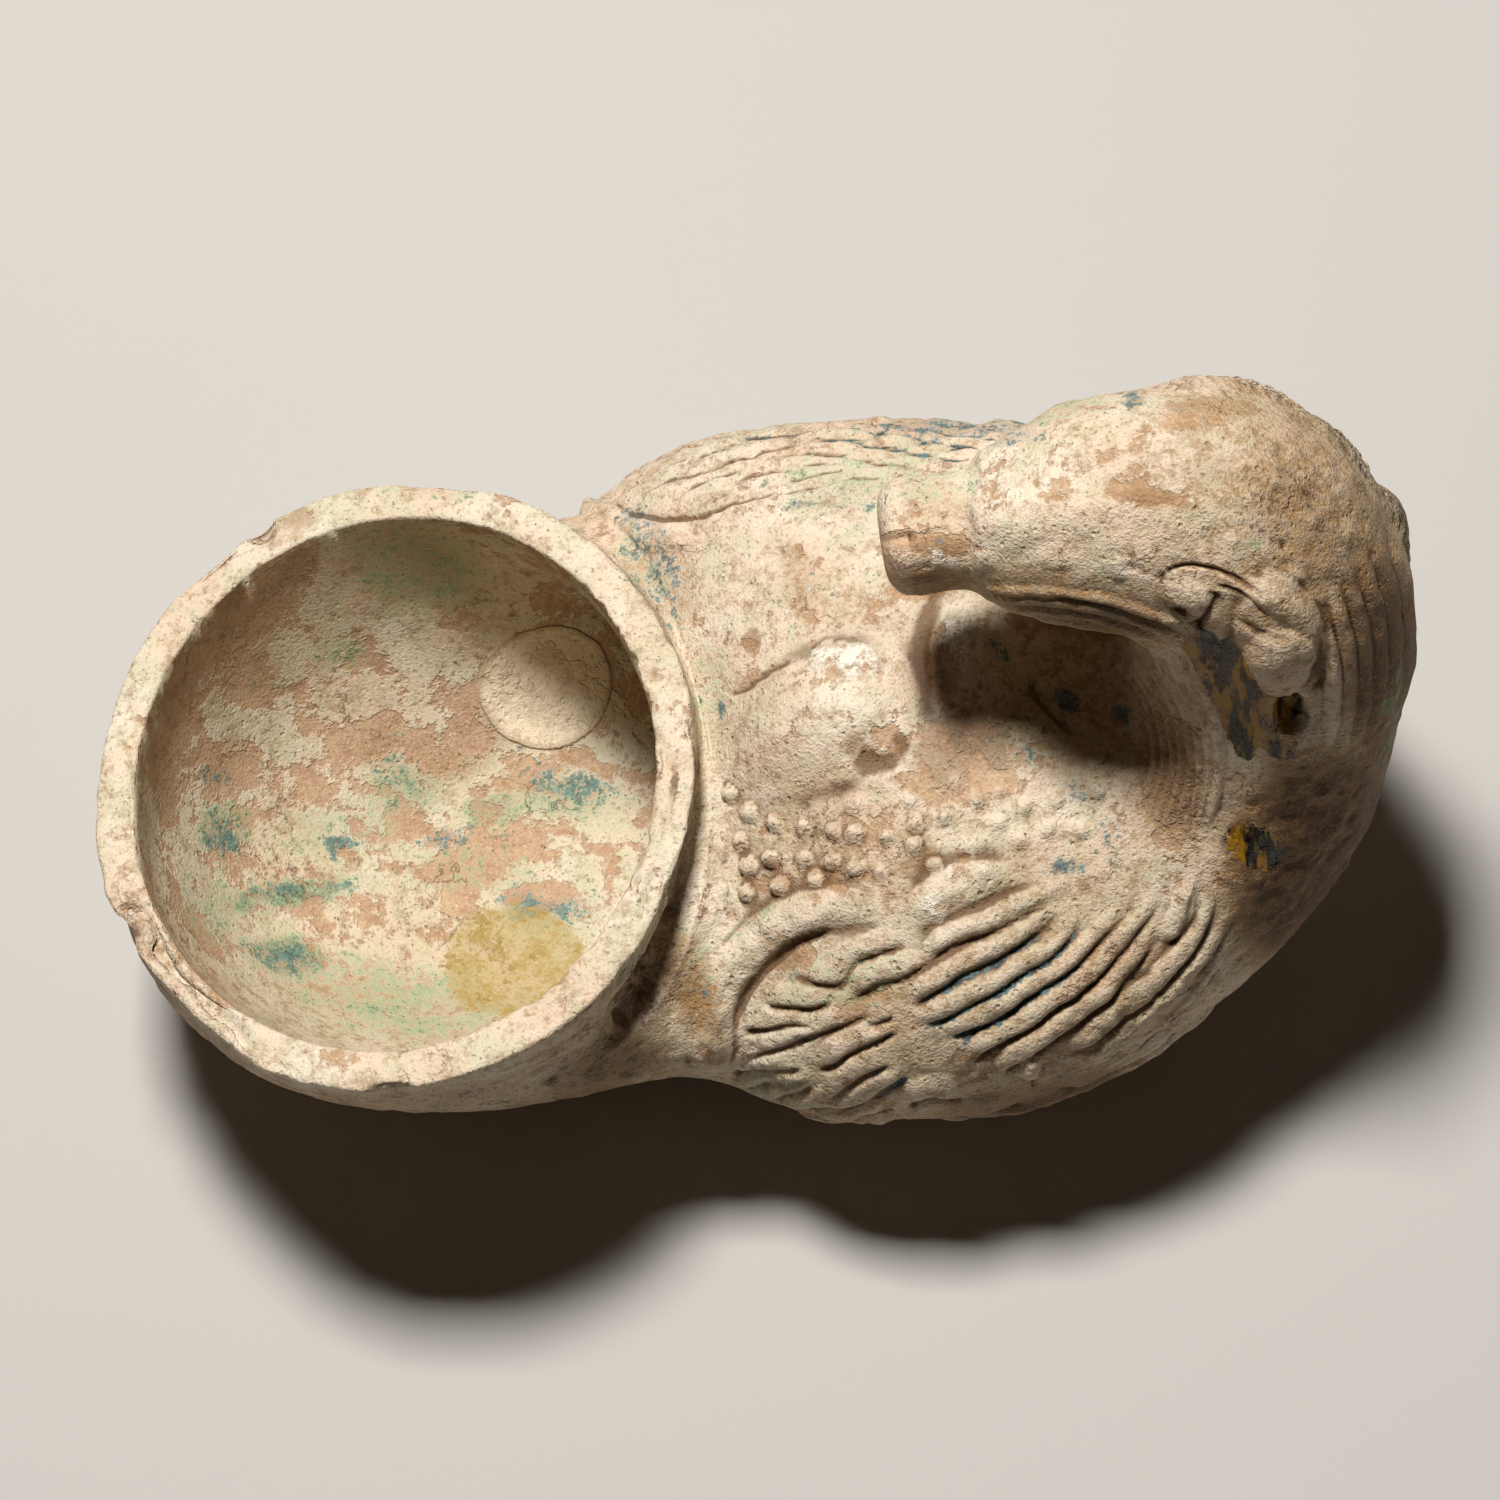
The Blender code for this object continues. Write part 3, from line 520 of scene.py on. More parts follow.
# %% [markdown]
# ## The head
# The head is a long wedge that lies on its cheek: a blunt muzzle with a shallow mouth and nostril, a
# wrinkled jaw, an eye under a double line of brow, and an ear curled into a ball like a ram's horn.
# %% Head
JAW_WRINKLES = [
    [(22.9, 16.2), (28.6, 16), (36, 15), (41, 13.5), (44.2, 12.4)],
    [(23.4, 15.2), (28.9, 15.1), (35.6, 14), (40.4, 12.5), (43.6, 11.2)],
    [(25.4, 14.2), (30.4, 14), (36.4, 12.8), (41.6, 10.7)],
    [(27.6, 13.3), (32.4, 12.8), (37.2, 11.4), (41.4, 9.2)],
]
# Ridges and cuts: height in mm, line, half width, share faded at each end, power of the profile. In turn: two
# lines of brow, the crack below the eye, the ear's tube, its crease and outline, the cheek, the mouth and the
# muzzle's edge, and then the wrinkles
HEAD_LINES = [
    (-0.4, [(40.4, 16.2), (41.6, 17.8), (43.9, 18.5), (46.7, 18), (48.9, 17.1), (51.4, 15.4)],
     0.34, (0.1, 0.15), 1),
    (-0.3, [(46.6, 16.6), (48.4, 16.2), (50.2, 15.2), (51.6, 13.9)], 0.28, (0.1, 0.2), 1),
    (-0.7, [(46.9, 16), (46.2, 14.6), (45.4, 13.3), (44.5, 12.3)], 0.5, (0.1, 0.1), 1),
    (0.65, [(47.6, 16.4), (50.3, 16.2), (53.2, 15), (55.2, 12.8), (55.8, 10.4)], 1.5, (0.3, 0), 1),
    (-0.28, [(49, 13.6), (50.4, 12.6), (51.8, 12.2), (53.4, 12.4)], 0.5, (0.2, 0.2), 1),
    (-0.28, [(50.6, 18.6), (53.9, 17.4), (56.6, 14.7), (57.6, 10.6), (56.9, 6.7), (54.4, 4.9)],
     0.45, (0.2, 0.2), 1),
    (0.35, [(22.8, 21.9), (28.9, 23.4), (36, 24.3), (41.5, 24.6)], 2.6, (0.1, 0.3), 1),
    (-0.16, [(13.9, 21.5), (16, 21.5), (19, 21.5), (22, 21.7)], 0.8, (0.1, 0.1), 1),
    (0.22, [(22.9, 27.5), (22.8, 22), (22.9, 16.5)], 0.9, (0.2, 0.2), 1),
] + [(0.5, line, 0.5, (0.12, 0.15), 1) for line in JAW_WRINKLES]
# Domes: height in mm, middle, radii, turn in degrees, power of the profile. In turn: the eyeball and its
# corner, the ear, its ball and the hollow under it, the nostril, and the dip behind the muzzle
HEAD_DOMES = [
    (0.7, (43.8, 15.4), (2.5, 1.7), -12, 0.8), (-0.7, (43.2, 14.2), (1.1, 0.6), -10, 0.7),
    (1.1, (52.6, 12.2), (4.4, 6.4), -10, 0.8), (1.2, (52.8, 9.3), (3.6, 3.7), 0, 0.6),
    (-1.8, (54.1, 3.8), (1.9, 2.1), 0, 0.8), (-0.6, (15.3, 21.2), (1, 0.85)),
    (-1, (25.6, 29.4), (6.5, 3.6), 38),
]
CRACKED_CROWN = (0.5, (54.5, 23.5), (11, 8.5), -45, 0.5)
MUZZLE_STEP_AT, MUZZLE_STEP, STEP_ROUGH, STEP_SOFT = 22.25, 0.20, 0.2, 0.2


def head_relief(places, unevenness):
    """The marks above, a low step round the muzzle, and noise let in where the crown has cracked."""
    step = ease(MUZZLE_STEP_AT - places[..., 0] + STEP_ROUGH * unevenness, -STEP_SOFT, STEP_SOFT)
    cracked = pressed(places, [CRACKED_CROWN]) * unevenness
    return pressed(places, HEAD_DOMES, HEAD_LINES) + cracked - MUZZLE_STEP * step


print("marks on the head:", len(HEAD_DOMES), "domes and", len(HEAD_LINES), "lines")

# %% [markdown]
# ## Chips in the lip
# The lip has been knocked for centuries. Each chip is a small dome taken out of the clay. Where the cup
# meets the body, earth and broken glaze leave a deep crumbling crevice.
# %% Lip
# Each chip: its middle across and along the sheet, its two radii, its turn in degrees, its depth
CHIPS = [
    (-61.6, -17.8, 2.8, 2.2, -70, 1.4), (-52.4, -27.4, 2.8, 1.5, -45, 0.8), (-48.9, 21.8, 1.8, 1.6, 35, 1),
    (-53.5, 18.4, 5, 1.4, 42, 0.5), (-56.8, -24.4, 0.9, 1.6, -45, 0.6), (-61.9, 2, 0.8, 4.5, 4, 0.3),
    (-57.4, -24, 12, 5, -52, 1.3), (-9.3, -0.8, 1.6, 2.6, 5, 0.5), (-35.5, -34.2, 3, 1, -5, 0.5),
    (-12, -13.5, 0.8, 5, -14, 0.3), (-61.8, -6, 1, 3, 0, 0.35), (-31, 26.4, 4, 0.9, -4, 0.3),
    (-46.8, -32, 2, 1, -35, 0.5),
]
CHIP_POWER = 0.9
CRUMBS, CRUMB_LEAST, CRUMB_MORE = [(1.0, 2.2, 17), (0.4, 0.9, 18)], 0.10, 0.45
WAIST_CREVICE = [(-5.2, 1.5), (-5.4, -3.4), (-6, -9), (-7, -15), (-9, -21), (-12.4, -26.5), (-17, -31)]
CREVICE, CREVICE_DEPTH, CREVICE_ROUGH = (2.0, (0.25, 0.2), 0.8), 1.7, 0.6


def lip_chips(places):
    """The sum of the domes, taken below the surface."""
    return pressed(places, [(-depth, (across, along), (long, wide), turn, CHIP_POWER)
                            for across, along, long, wide, turn, depth in CHIPS])


def crumbling(points):
    """Rough loss along the lip, most of it toward the body: noise, where it is above 0, taken off."""
    toward_body = ease(on_sheet(points)[..., 0], -34, -8)
    return -(CRUMB_LEAST + CRUMB_MORE * toward_body) * np.clip(stirred(points, CRUMBS), 0, 1)


def crevice(places, unevenness):
    """One wide ridge turned inwards where the cup meets the body, with crumbling sides."""
    cut = ridge(places, WAIST_CREVICE, *CREVICE)
    return cut * (CREVICE_ROUGH * unevenness - CREVICE_DEPTH)


print("chips:", len(CHIPS))

# %% [markdown]
# ## Raising the carving on the outside
# Each set of marks belongs to one stretch of the form and, for the head and neck, to one side of a
# middle plane that rolls over with the head. Far sides take the mirror image of the near ones.
# %% Carving
HEAD_ROLL = math.radians(52)
CREST_SPREAD = math.radians(14)
CREST_TEETH = 34
CREST_HEIGHT, CREST_NOTCH = 1.0, 0.45


def head_roll(at):
    """The roll grows from none at the neck to all of it at the crown."""
    return HEAD_ROLL * part_way(at, NECK, CROWN)


def mirrored(points, outward, at):
    """Points and normals past the rolled middle plane, reflected in it to the near side."""
    table = np.stack([STATIONS[:, 6], (STATIONS[:, 1] + STATIONS[:, 3]) / 2], axis=1)
    middle = smooth(KNOTS, table, at)[:, None]
    roll = head_roll(at)
    across = np.stack([np.cos(roll), -np.sin(roll)], -1)[:, None]
    past = ((points[..., 1:] - middle) * across).sum(-1, keepdims=True)
    turned = (outward[..., 1:] * across).sum(-1, keepdims=True)
    near_points, near_outward = points.copy(), outward.copy()
    near_points[..., 1:] -= 2 * np.where(past > 0, past, 0) * across
    near_outward[..., 1:] -= 2 * np.where(past > 0, turned, 0) * across
    return near_points, near_outward


def crest(at):
    """A toothed ridge on the middle plane: a cosine comb along it, a parabola across it."""
    angle = np.linspace(0, 2 * math.pi, AROUND, endpoint=False)
    off = np.abs(angle - (math.pi - head_roll(at)[:, None]))
    along = part_way(at, NECK, NAPE) * (1 - part_way(at, CROWN, BROW))
    turns = at * CREST_TEETH / (KNOTS[CROWN] - KNOTS[NECK])
    teeth = 1 - CREST_NOTCH + CREST_NOTCH * np.sin(2 * math.pi * turns)
    return CREST_HEIGHT * (along * teeth)[:, None] * np.clip(1 - (off / CREST_SPREAD) ** 2, 0, 1)


print("teeth on the crest:", CREST_TEETH)

# %% Fields over the outside
at = np.linspace(0, 1, RINGS_OUTSIDE)
plain = rings(at)
outward = normals(plain)
near_points, near_outward = mirrored(plain, outward, at)
waver = np.stack([stirred(near_points, [(0.32, 4.5, seed), (0.14, 1.7, seed + 30)]) for seed in (1, 2)], -1)
rough = stirred(plain, [(0.6, 1.6, 3), (0.4, 0.8, 4)])
swelling = uneven(plain, 2.6, 12)
facing, facing_folded = outward @ TOWARD, near_outward @ TOWARD
seen, seen_folded = ease(facing, -0.05, 0.20), ease(facing_folded, -0.05, 0.20)
near_side = ease(facing, -0.4, 0.0)
far = ease(plain[..., 1], 4, 12)
near, folded = on_sheet(plain), on_sheet(near_points)
winged = on_wing_sheet(plain, outward)
everywhere = np.ones(plain.shape[:2])

body = part_way(at, WAIST - 1, WAIST - 0.6) * (1 - part_way(at, NECK, NAPE))
neck = part_way(at, BREAST, BREAST + 1) * (1 - part_way(at, CROWN, BROW))
head = part_way(at, NECK, NAPE)
cup = 1 - part_way(at, 0, 1)
waist = ease(at, 0.012, 0.05) * (1 - part_way(at, WAIST, WAIST + 1))
feather_depth = 0.90 + 0.26 * swelling + 0.26 * rough - 0.40 * far * seen
print("points on the outside:", plain.shape[0] * plain.shape[1])

# %% Carving laid on
relief = crest(at)
for stretch, sight, places, carve in (
    (body, everywhere, winged + waver, lambda p, on: wing_relief(p) * feather_depth[on]),
    (body, seen * far, near + waver, lambda p, on: far_wing_relief(p)),
    (body, seen, near, lambda p, on: back_relief(p, rough[on])),
    (neck, seen_folded, folded, lambda p, on: neck_relief(p, rough[on])),
    (head, seen_folded, folded, lambda p, on: head_relief(p, rough[on])),
    (cup, everywhere, near, lambda p, on: lip_chips(p)),
    (waist, near_side, near, lambda p, on: crevice(p, rough[on])),
):
    weight = stretch[:, None] * sight
    on = weight > 0
    relief[on] += weight[on] * carve(places[on], on)
print("carving from %.1f to %.1f mm" % (relief.min(), relief.max()))

# %% Unevenness laid on
# Thumbed clay, grit and small pits on the body, and a worn, slightly hollowed wall on the cup
THUMBED = [(0.24, 11.0, 5), (0.15, 4.0, 6), (0.10, 1.5, 7)]
GRIT_HEIGHT, PIT_DEPTH, CUP_WORN = 0.10, 0.16, 0.55
cup = cup[:, None]
gritty = (0.35 + 0.65 * ease(uneven(plain, 7.0, 14), -0.5, 0.4)) * (1 - 0.8 * cup)
thumbed = stirred(plain, THUMBED) + GRIT_HEIGHT * gritty * uneven(plain, 0.9, 15)
thumbed -= PIT_DEPTH * gritty * ease(uneven(plain, 1.3, 16), 0.35, 0.75)
thumbed -= CUP_WORN * cup * (0.5 + 0.5 * uneven(plain, 7.0, 13)) ** 2
thumbed += crumbling(plain) * (1 - ease(at, 0, 0.02))[:, None]
outside = plain + outward * (relief + thumbed)[..., None]
print("unevenness from %.1f to %.1f mm" % (thumbed.min(), thumbed.max()))

# %% [markdown]
# ## The hollow, the lip and the tip of the muzzle
# The wall is the outside drawn in by its own thickness, and it closes in a round end inside the
# breast. The lip joins the two edges with a low crown, and the muzzle rounds off to a small flat.
# %% Hollow, lip and muzzle
LIP_WIDTH, CUP_WALL, LIP_CROWN = 4.2, 4.6, 0.7
HOLLOW_NARROWS, HOLLOW_ENDS, STRAIGHT_SHARE = 7.4, 9.6, 0.7
MUZZLE_ROUND, MUZZLE_SHRINK = 2.4, 0.97
HOLLOW_WORN = [(0.16, 9.0, 8), (0.06, 2.5, 9)]
LIP_WORN = [(0.07, 2.5, 10), (0.12, 7.0, 11)]


def hollow_rings():
    """Rings at a constant inset, then a quarter turn of sine and cosine that closes the far end."""
    start, end = station_at(HOLLOW_NARROWS), station_at(HOLLOW_ENDS)
    straight = int(RINGS_HOLLOW * STRAIGHT_SHARE)
    turn = np.linspace(math.pi / 2, 0, RINGS_HOLLOW - straight, endpoint=False)[1:]
    places = np.concatenate([start + (end - start) * np.sin(turn), np.linspace(start, 0, straight)])
    shrink = np.concatenate([np.cos(turn), np.ones(straight)])
    inset = LIP_WIDTH + (CUP_WALL - LIP_WIDTH) * ease(places, 0, KNOTS[2])
    walls = rings(places, inset, shrink)
    fade = ease(places, 0, KNOTS[1])[:, None]
    worn = fade * stirred(walls, HOLLOW_WORN)
    worn += (1 - ease(places, 0, 0.02))[:, None] * crumbling(walls)
    return walls + normals(walls) * worn[..., None]


def lip_rings(inner_edge, outer_edge):
    """A half turn from edge to edge, raised along the mouth's axis by sine to the half."""
    turn = np.linspace(0, math.pi, RINGS_LIP + 2)[1:-1]
    share = (1 - np.cos(turn)) / 2
    rise = np.sin(turn) ** 0.5 * LIP_CROWN
    along_mouth = (INNER[0] - OUTER[0]) / np.linalg.norm(INNER[0] - OUTER[0])
    upward = np.array([-along_mouth[1], 0, along_mouth[0]])
    spread = inner_edge[None] + (outer_edge - inner_edge)[None] * share[:, None, None]
    return spread + upward * rise[:, None, None]


def muzzle_rings(last):
    """The last ring pushed out by sine and shrunk by cosine of a quarter turn."""
    turn = np.linspace(0, math.pi / 2, RINGS_MUZZLE + 1)[1:]
    middle = last.mean(axis=0)
    shrink = (1 - (1 - np.cos(turn)) * MUZZLE_SHRINK)[:, None, None] ** 0.5
    forward = (MUZZLE_ROUND * np.sin(turn))[:, None, None]
    return middle + (last - middle)[None] * shrink - AHEAD * forward


hollow = hollow_rings()
lip = lip_rings(hollow[-1], outside[0])
lip_out = normals(np.concatenate([hollow[-1:], lip, outside[:1]]))[1:-1]
lip_relief = lip_chips(on_sheet(lip)) + crumbling(lip) + stirred(lip, LIP_WORN)
lip = lip + lip_out * lip_relief[..., None]
muzzle = muzzle_rings(outside[-1])
skin = np.concatenate([hollow, lip, outside, muzzle])
print("rings in all:", len(skin), "points:", skin.shape[0] * skin.shape[1])

# %% [markdown]
# ## Where each finish lies
# The glaze didn't decay evenly. The tables below note, on the same sheet, where blue and green glaze
# still pools, where it is dark and glossy, where pink clay is bare, where white scale or brown earth
# sits, and where brown is painted shade. Each stain is only an oval or a streak with a soft edge. The
# material breaks the edges up.
# %% Stains on the outside
# Each oval: its middle across and along the sheet, its two radii, its turn in degrees, its strength
BLUE = [
    (31.7, 5.1, 2.2, 1.5, -40, 1), (36.9, 3.5, 1.4, 1.4, -30, 0.9), (24.8, 9.2, 1.8, 2.8, 20, 0.55),
    (-9.5, 17.5, 3.8, 8, 20, 0.62), (-3, 3.3, 0.7, 2.4, 0, 0.8), (27.7, -0.3, 0.9, 0.7, 0, 0.8),
    (33.4, -4.2, 2.6, 1.4, -20, 0.75), (31.3, -8.7, 0.8, 0.7, 0, 0.7), (32, -11.6, 3, 1.1, 8, 0.8),
    (38.5, 35, 1.4, 1.3, 40, 0.85), (18.9, 20.4, 0.8, 1.2, 0, 0.7), (-4.5, -24.4, 0.5, 1.5, -15, 0.9),
    (42.4, 14.7, 0.6, 0.6, 0, 0.7), (-10.5, 23, 3, 2, 0, 0.5), (20.5, 31.6, 10.5, 1.4, 2, 0.7),
    (8, 24.5, 5.5, 0.9, -4, 0.5), (36, -8, 2.2, 2, 0, 0.45),
]
BLUE_IN_GROOVES = [(23.5, -25.5, 14, 4.8, 34, 1), (15.5, -31.5, 4, 4.2, 30, 0.9), (22, 31.4, 12, 3, 2, 0.9)]
GREEN = [
    (5, 10.8, 2.2, 2, 0, 0.5), (50.7, 20.7, 0.6, 0.7, 0, 0.9), (46, 21.4, 1.5, 0.6, 25, 0.75),
    (-4.3, 6, 2.6, 6.5, 0, 0.55), (-9.5, 14.5, 3, 10, 25, 0.5), (0.4, -17, 5, 1, 35, 0.6),
    (12.5, 27, 12, 5.5, 0, 0.5), (9, -23, 8, 4.5, 20, 0.5), (64, 2, 1.5, 10, 0, 0.6),
    (-30.5, 25.6, 9, 1, -6, 0.4), (30.5, 33.8, 8, 1.4, 8, 0.6), (4, -34, 9, 4, 0, 0.45),
    (30, 2, 7, 5.5, -30, 0.45), (-5, -22, 1.6, 7, 5, 0.5),
]
BARE = [
    (19, 20.4, 3.6, 1.5, 0, 0.85), (39.5, 25.4, 4.6, 1, -5, 0.9), (19.4, 8.6, 2.4, 4.4, 0, 0.7),
    (0, 10.6, 1.2, 1.4, 0, 0.8), (12.8, 0.6, 3.6, 3.2, 0, 0.35), (10, -10.5, 13, 5.5, 4, 0.3),
    (4, -21, 3, 1.2, 10, 0.7), (11.5, -25.2, 3.5, 1.6, 15, 0.65), (42, -3, 4, 9, 8, 0.6),
    (-9.4, -2, 1.6, 2.6, 5, 0.8), (21, -1, 7, 6, 0, 0.5), (15.3, 21.2, 1.4, 1.2, 0, 0.9),
    (53, 26, 4.5, 3.5, -40, 0.45), (45, 33.5, 6, 2.4, 10, 0.45), (18, 16.6, 4.6, 1.8, 0, 0.6),
]
CRUST = [
    (10.2, 8.8, 4.8, 2.4, -12, 0.85), (20.6, 10.4, 2.4, 3, 20, 0.8), (19.3, 19.2, 2, 1.3, -35, 0.75),
    (18.2, -15.4, 0.9, 2.2, 30, 0.8), (5, 15, 3, 1.2, 40, 0.5), (27, -2, 1.4, 1.1, 0, 0.45),
]
# Ovals of brown earth; along the waist below the rim and down the lower flank they are painted shade as well
EARTH_AND_SHADE = [
    (-5.6, -2, 1.3, 4, 0, 0.9), (-6.6, -12, 1.6, 9, -8, 0.9), (-9.6, -23, 3, 6.5, -30, 0.75),
    (-15, -32, 8, 3, 25, 0.65), (56.5, -11, 10, 12.5, 0, 0.62), (-22, -38, 14, 5, -8, 0.55),
    (54, 23, 7, 5, -40, 0.45), (50.5, -9, 4, 4, 0, 0.7), (28, 4, 6, 4, 0, 0.4), (30, -38, 26, 6, 12, 0.5),
    (53.8, 3.2, 2.6, 2.6, 0, 0.8), (46, 28, 4, 2, 0, 0.35),
]
# Ovals of tan. The strong ones under the jaw, on the back beneath the head, on the breast, along the mane's
# outer edge, down the lower flank and along the waist below the cup are painted shade
TAN_AND_SHADE = [
    (33, 14.4, 15, 4.2, -8, 1.15), (18.5, 22.5, 5.5, 5, 0, 0.45), (18, 17.6, 6, 3.4, 0, 0.6),
    (46, 22, 12, 7, -10, 0.3), (33, 6, 14, 9, -10, 0.75), (43, -6, 6, 9, 0, 0.5), (-14, -33, 10, 5, 20, 0.8),
    (2, -27, 9, 9, 0, 0.45), (30, -27, 16, 6, 35, 0.75), (20, -24, 28, 15, 18, 0.5), (8, -8, 16, 9, 0, 0.25),
    (58, -12, 13, 16, 0, 1.55), (63.5, 8, 6.5, 17, 8, 1.42), (30, -38, 30, 7, 14, 1.35),
    (-16, -36, 14, 6, 14, 0.95), (5.2, 16.4, 2.6, 5, 12, 0.7), (12, 13.6, 6, 2.4, 0, 0.45),
    (-5.6, -24, 3, 9, 20, 1), (43, 6.4, 5, 3.4, -50, 0.9),
]
LIP_EARTH = [
    (-9.7, -1.6, 1.2, 2.2, 5, 0.75), (-7.6, -3.5, 0.5, 4.5, -6, 0.8), (-22, -31.2, 1.4, 0.8, 20, 0.7),
    (-10.5, -14, 0.7, 4, -16, 0.6), (-17, -26.5, 0.8, 2.4, -40, 0.6), (-48.6, 21.4, 1, 0.8, 30, 0.7),
]
LIP_GREEN = [(-31, 25.6, 8, 1.2, -6, 0.45), (-54, 15.5, 5, 1.5, 45, 0.35), (-60, -12, 1.6, 5, -12, 0.35)]
LIP_BARE = [(-12, -10, 2.2, 9, -14, 0.5), (-46, 22, 4, 2, 28, 0.5), (-40, -33, 6, 1.4, -10, 0.4)]
DARK_GLOSS = [(50.6, -9.6, 3.6, 2.6, -30, 0.62), (54.2, 3.9, 1.6, 1.6, 0, 0.8)]
DARK_GLOSS_RUNS = [
    ([(43.6, 12), (45.6, 10), (47.2, 7.4), (48.6, 4.4), (49.6, 1.4), (50.2, -2.6)], 1.9),
    ([(46.4, 11.2), (48.6, 8.4), (50.6, 5), (52.2, 2.4), (53.6, -0.6), (54.2, -3.6)], 1.9),
    ([(50.8, 5.6), (53, 4), (55.2, 3.6)], 1.6),
]
print("stains on the outside:", sum(map(len, (BLUE, GREEN, BARE, CRUST, EARTH_AND_SHADE, TAN_AND_SHADE))))

# %% Stains in the cup
CUP_BLUE = [
    (-18.4, -3.5, 6.4, 2.4, -10, 0.8), (-53.2, -2.7, 2.2, 1.2, 0, 0.8), (-52.8, -8.4, 2.2, 3, 10, 0.85),
    (-41.1, -9.5, 1.5, 1.3, 0, 1.15), (-30.1, -8.9, 3.4, 1.6, 0, 0.7), (-46.5, -20.8, 4.4, 2, -10, 0.75),
    (-22.9, -15.5, 3, 2.6, 0, 0.85), (-18.6, -15.9, 4, 1.8, 0, 0.8), (-35.6, -2.4, 2, 3.4, 0, 0.6),
    (-47.6, -14, 3.4, 1.6, 15, 0.75), (-42, -13.6, 5, 1.4, 5, 0.55), (-36.5, 3, 1.4, 3, 10, 0.6),
    (-36.6, 21.2, 2.6, 1.2, 10, 0.5), (-49, 22.6, 1.2, 0.8, 0, 0.6),
]
CUP_GREEN = [
    (-33.2, 18.1, 9.5, 5, -15, 0.72), (-46.3, -14.4, 8, 2.4, 10, 0.95), (-46, -20.6, 5.6, 2.8, -8, 0.85),
    (-34.5, -3.9, 5, 3.2, 0, 0.72), (-25.6, -6, 4.4, 2.4, 0, 0.75), (-52.5, -8, 3.6, 4.4, 0, 0.72),
    (-28, -12, 8, 3.4, 0, 0.62), (-36, -25, 15, 5, -12, 0.66), (-18.6, -4.5, 7, 3.2, -6, 0.68),
    (-40, 10, 5, 3, 0, 0.55), (-54, -16, 4, 6, 30, 0.6), (-40, -8, 9, 4, 0, 0.55), (-20, -16, 7, 4, 0, 0.5),
    (-30, 25, 9, 2.4, -10, 0.6),
]
CUP_SKIN = [
    (-53.5, 6, 3.4, 2.4, 0, 0.85), (-39.5, 5.6, 6.6, 4.6, -20, 0.8), (-42.4, 0.3, 6, 3, 0, 0.75),
    (-52.3, 2, 4, 4.2, 0, 0.75), (-35, 17, 17, 9.5, -22, 1), (-38, -26, 20, 7, -14, 0.95),
    (-46, 11, 6, 5, 0, 0.75), (-34, 10, 8, 4.5, 20, 0.8), (-58.8, -2, 1.8, 9, -6, 0.8),
    (-20, -24, 9, 8, 30, 0.85), (-48, -16, 10, 8, 0, 0.7), (-27, 7, 5, 3.4, 0, 0.6), (-28, -9, 9, 5, 0, 0.55),
    (-18, -8, 6, 9, 0, 0.55), (-56.5, -12, 3, 8, 20, 0.75),
]
CUP_BARE = [
    (-49.5, 13.4, 8.5, 3.6, 48, 0.5), (-45, 19, 3, 3, 0, 0.7), (-50.5, 7, 4.5, 3, 20, 0.55),
    (-57, 5, 2.4, 5, -8, 0.55), (-29.4, 13.5, 4, 1.8, -30, 0.6), (-58.6, -3, 1.6, 6, 6, 0.7),
    (-52, -1, 4, 2.6, 0, 0.5), (-38.6, 0.6, 5, 2.4, 12, 0.6), (-30.3, -1.2, 4, 2.2, 0, 0.5),
    (-24, -9, 5, 2, 0, 0.42), (-27, 2.6, 3, 4, 0, 0.4),
]
print("stains in the cup:", sum(map(len, (CUP_BLUE, CUP_GREEN, CUP_SKIN, CUP_BARE))))

# %% Masks


def stained(places, ovals):
    """The greatest of the ovals at each place, each a parabola with its own strength."""
    found = np.zeros(places.shape[:-1])
    for across, along, long, wide, turn, strength in ovals:
        oval = dome(places, (across, along), (long, wide), turn, 0.5)
        found = np.maximum(found, strength * ease(oval, 0, 1))
    return found


def spread_out(values, rounds):
    """A field averaged with its neighbours along and around, some rounds over."""
    for _ in range(rounds):
        values = (values + np.roll(values, 1, 1) + np.roll(values, -1, 1)) / 3
        padded = np.pad(values, ((1, 1), (0, 0)), mode="edge")
        values = (padded[:-2] + padded[1:-1] + padded[2:]) / 3
    return values


softened = spread_out(relief, 5 * FINE * FINE)
NAMES = "inside sunk proud blue green bare crust earth dark_gloss skin_left tanned"
masks = {name: np.zeros(skin.shape[:2]) for name in NAMES.split()}
first_lip = len(hollow)
first_out = first_lip + len(lip)
first_muzzle = first_out + len(outside)
inner, rim, outer = slice(0, first_lip), slice(first_lip, first_out), slice(first_out, first_muzzle)
masks["inside"][inner] = 1
masks["inside"][rim] = np.linspace(0.9, 0.1, len(lip))[:, None]
on_lip = (1 - ease(at, 0, 0.022))[:, None]
masks["sunk"][outer] = ease(softened - relief, 0.03, 0.34)
masks["proud"][outer] = ease(relief - softened, 0.02, 0.40)
print("points sunk: %.0f %%" % (100 * np.mean(masks["sunk"][outer] > 0.5)))

# %% Stains laid on the outside
# The hidden sides take the wing sheet's stains, a little weaker, and blue glaze pools in the grooves
FOLDED_STRENGTH, POOLED_STRENGTH = 0.8, 1.3
front = ease(facing, -0.25, 0.10)
off_head = 1 - np.maximum(head, part_way(at, NECK - 0.5, NECK))[:, None]
for name, ovals in (("blue", BLUE), ("green", GREEN), ("bare", BARE), ("crust", CRUST), ("earth", EARTH_AND_SHADE)):
    carried = FOLDED_STRENGTH * stained(winged, ovals) * (1 - front) * off_head
    masks[name][outer] = np.maximum(stained(near, ovals) * front, carried)
pooled = stained(winged, BLUE_IN_GROOVES) * masks["sunk"][outer] * POOLED_STRENGTH
masks["blue"][outer] = np.maximum(masks["blue"][outer], pooled)
flat_places = near.reshape(-1, 2)
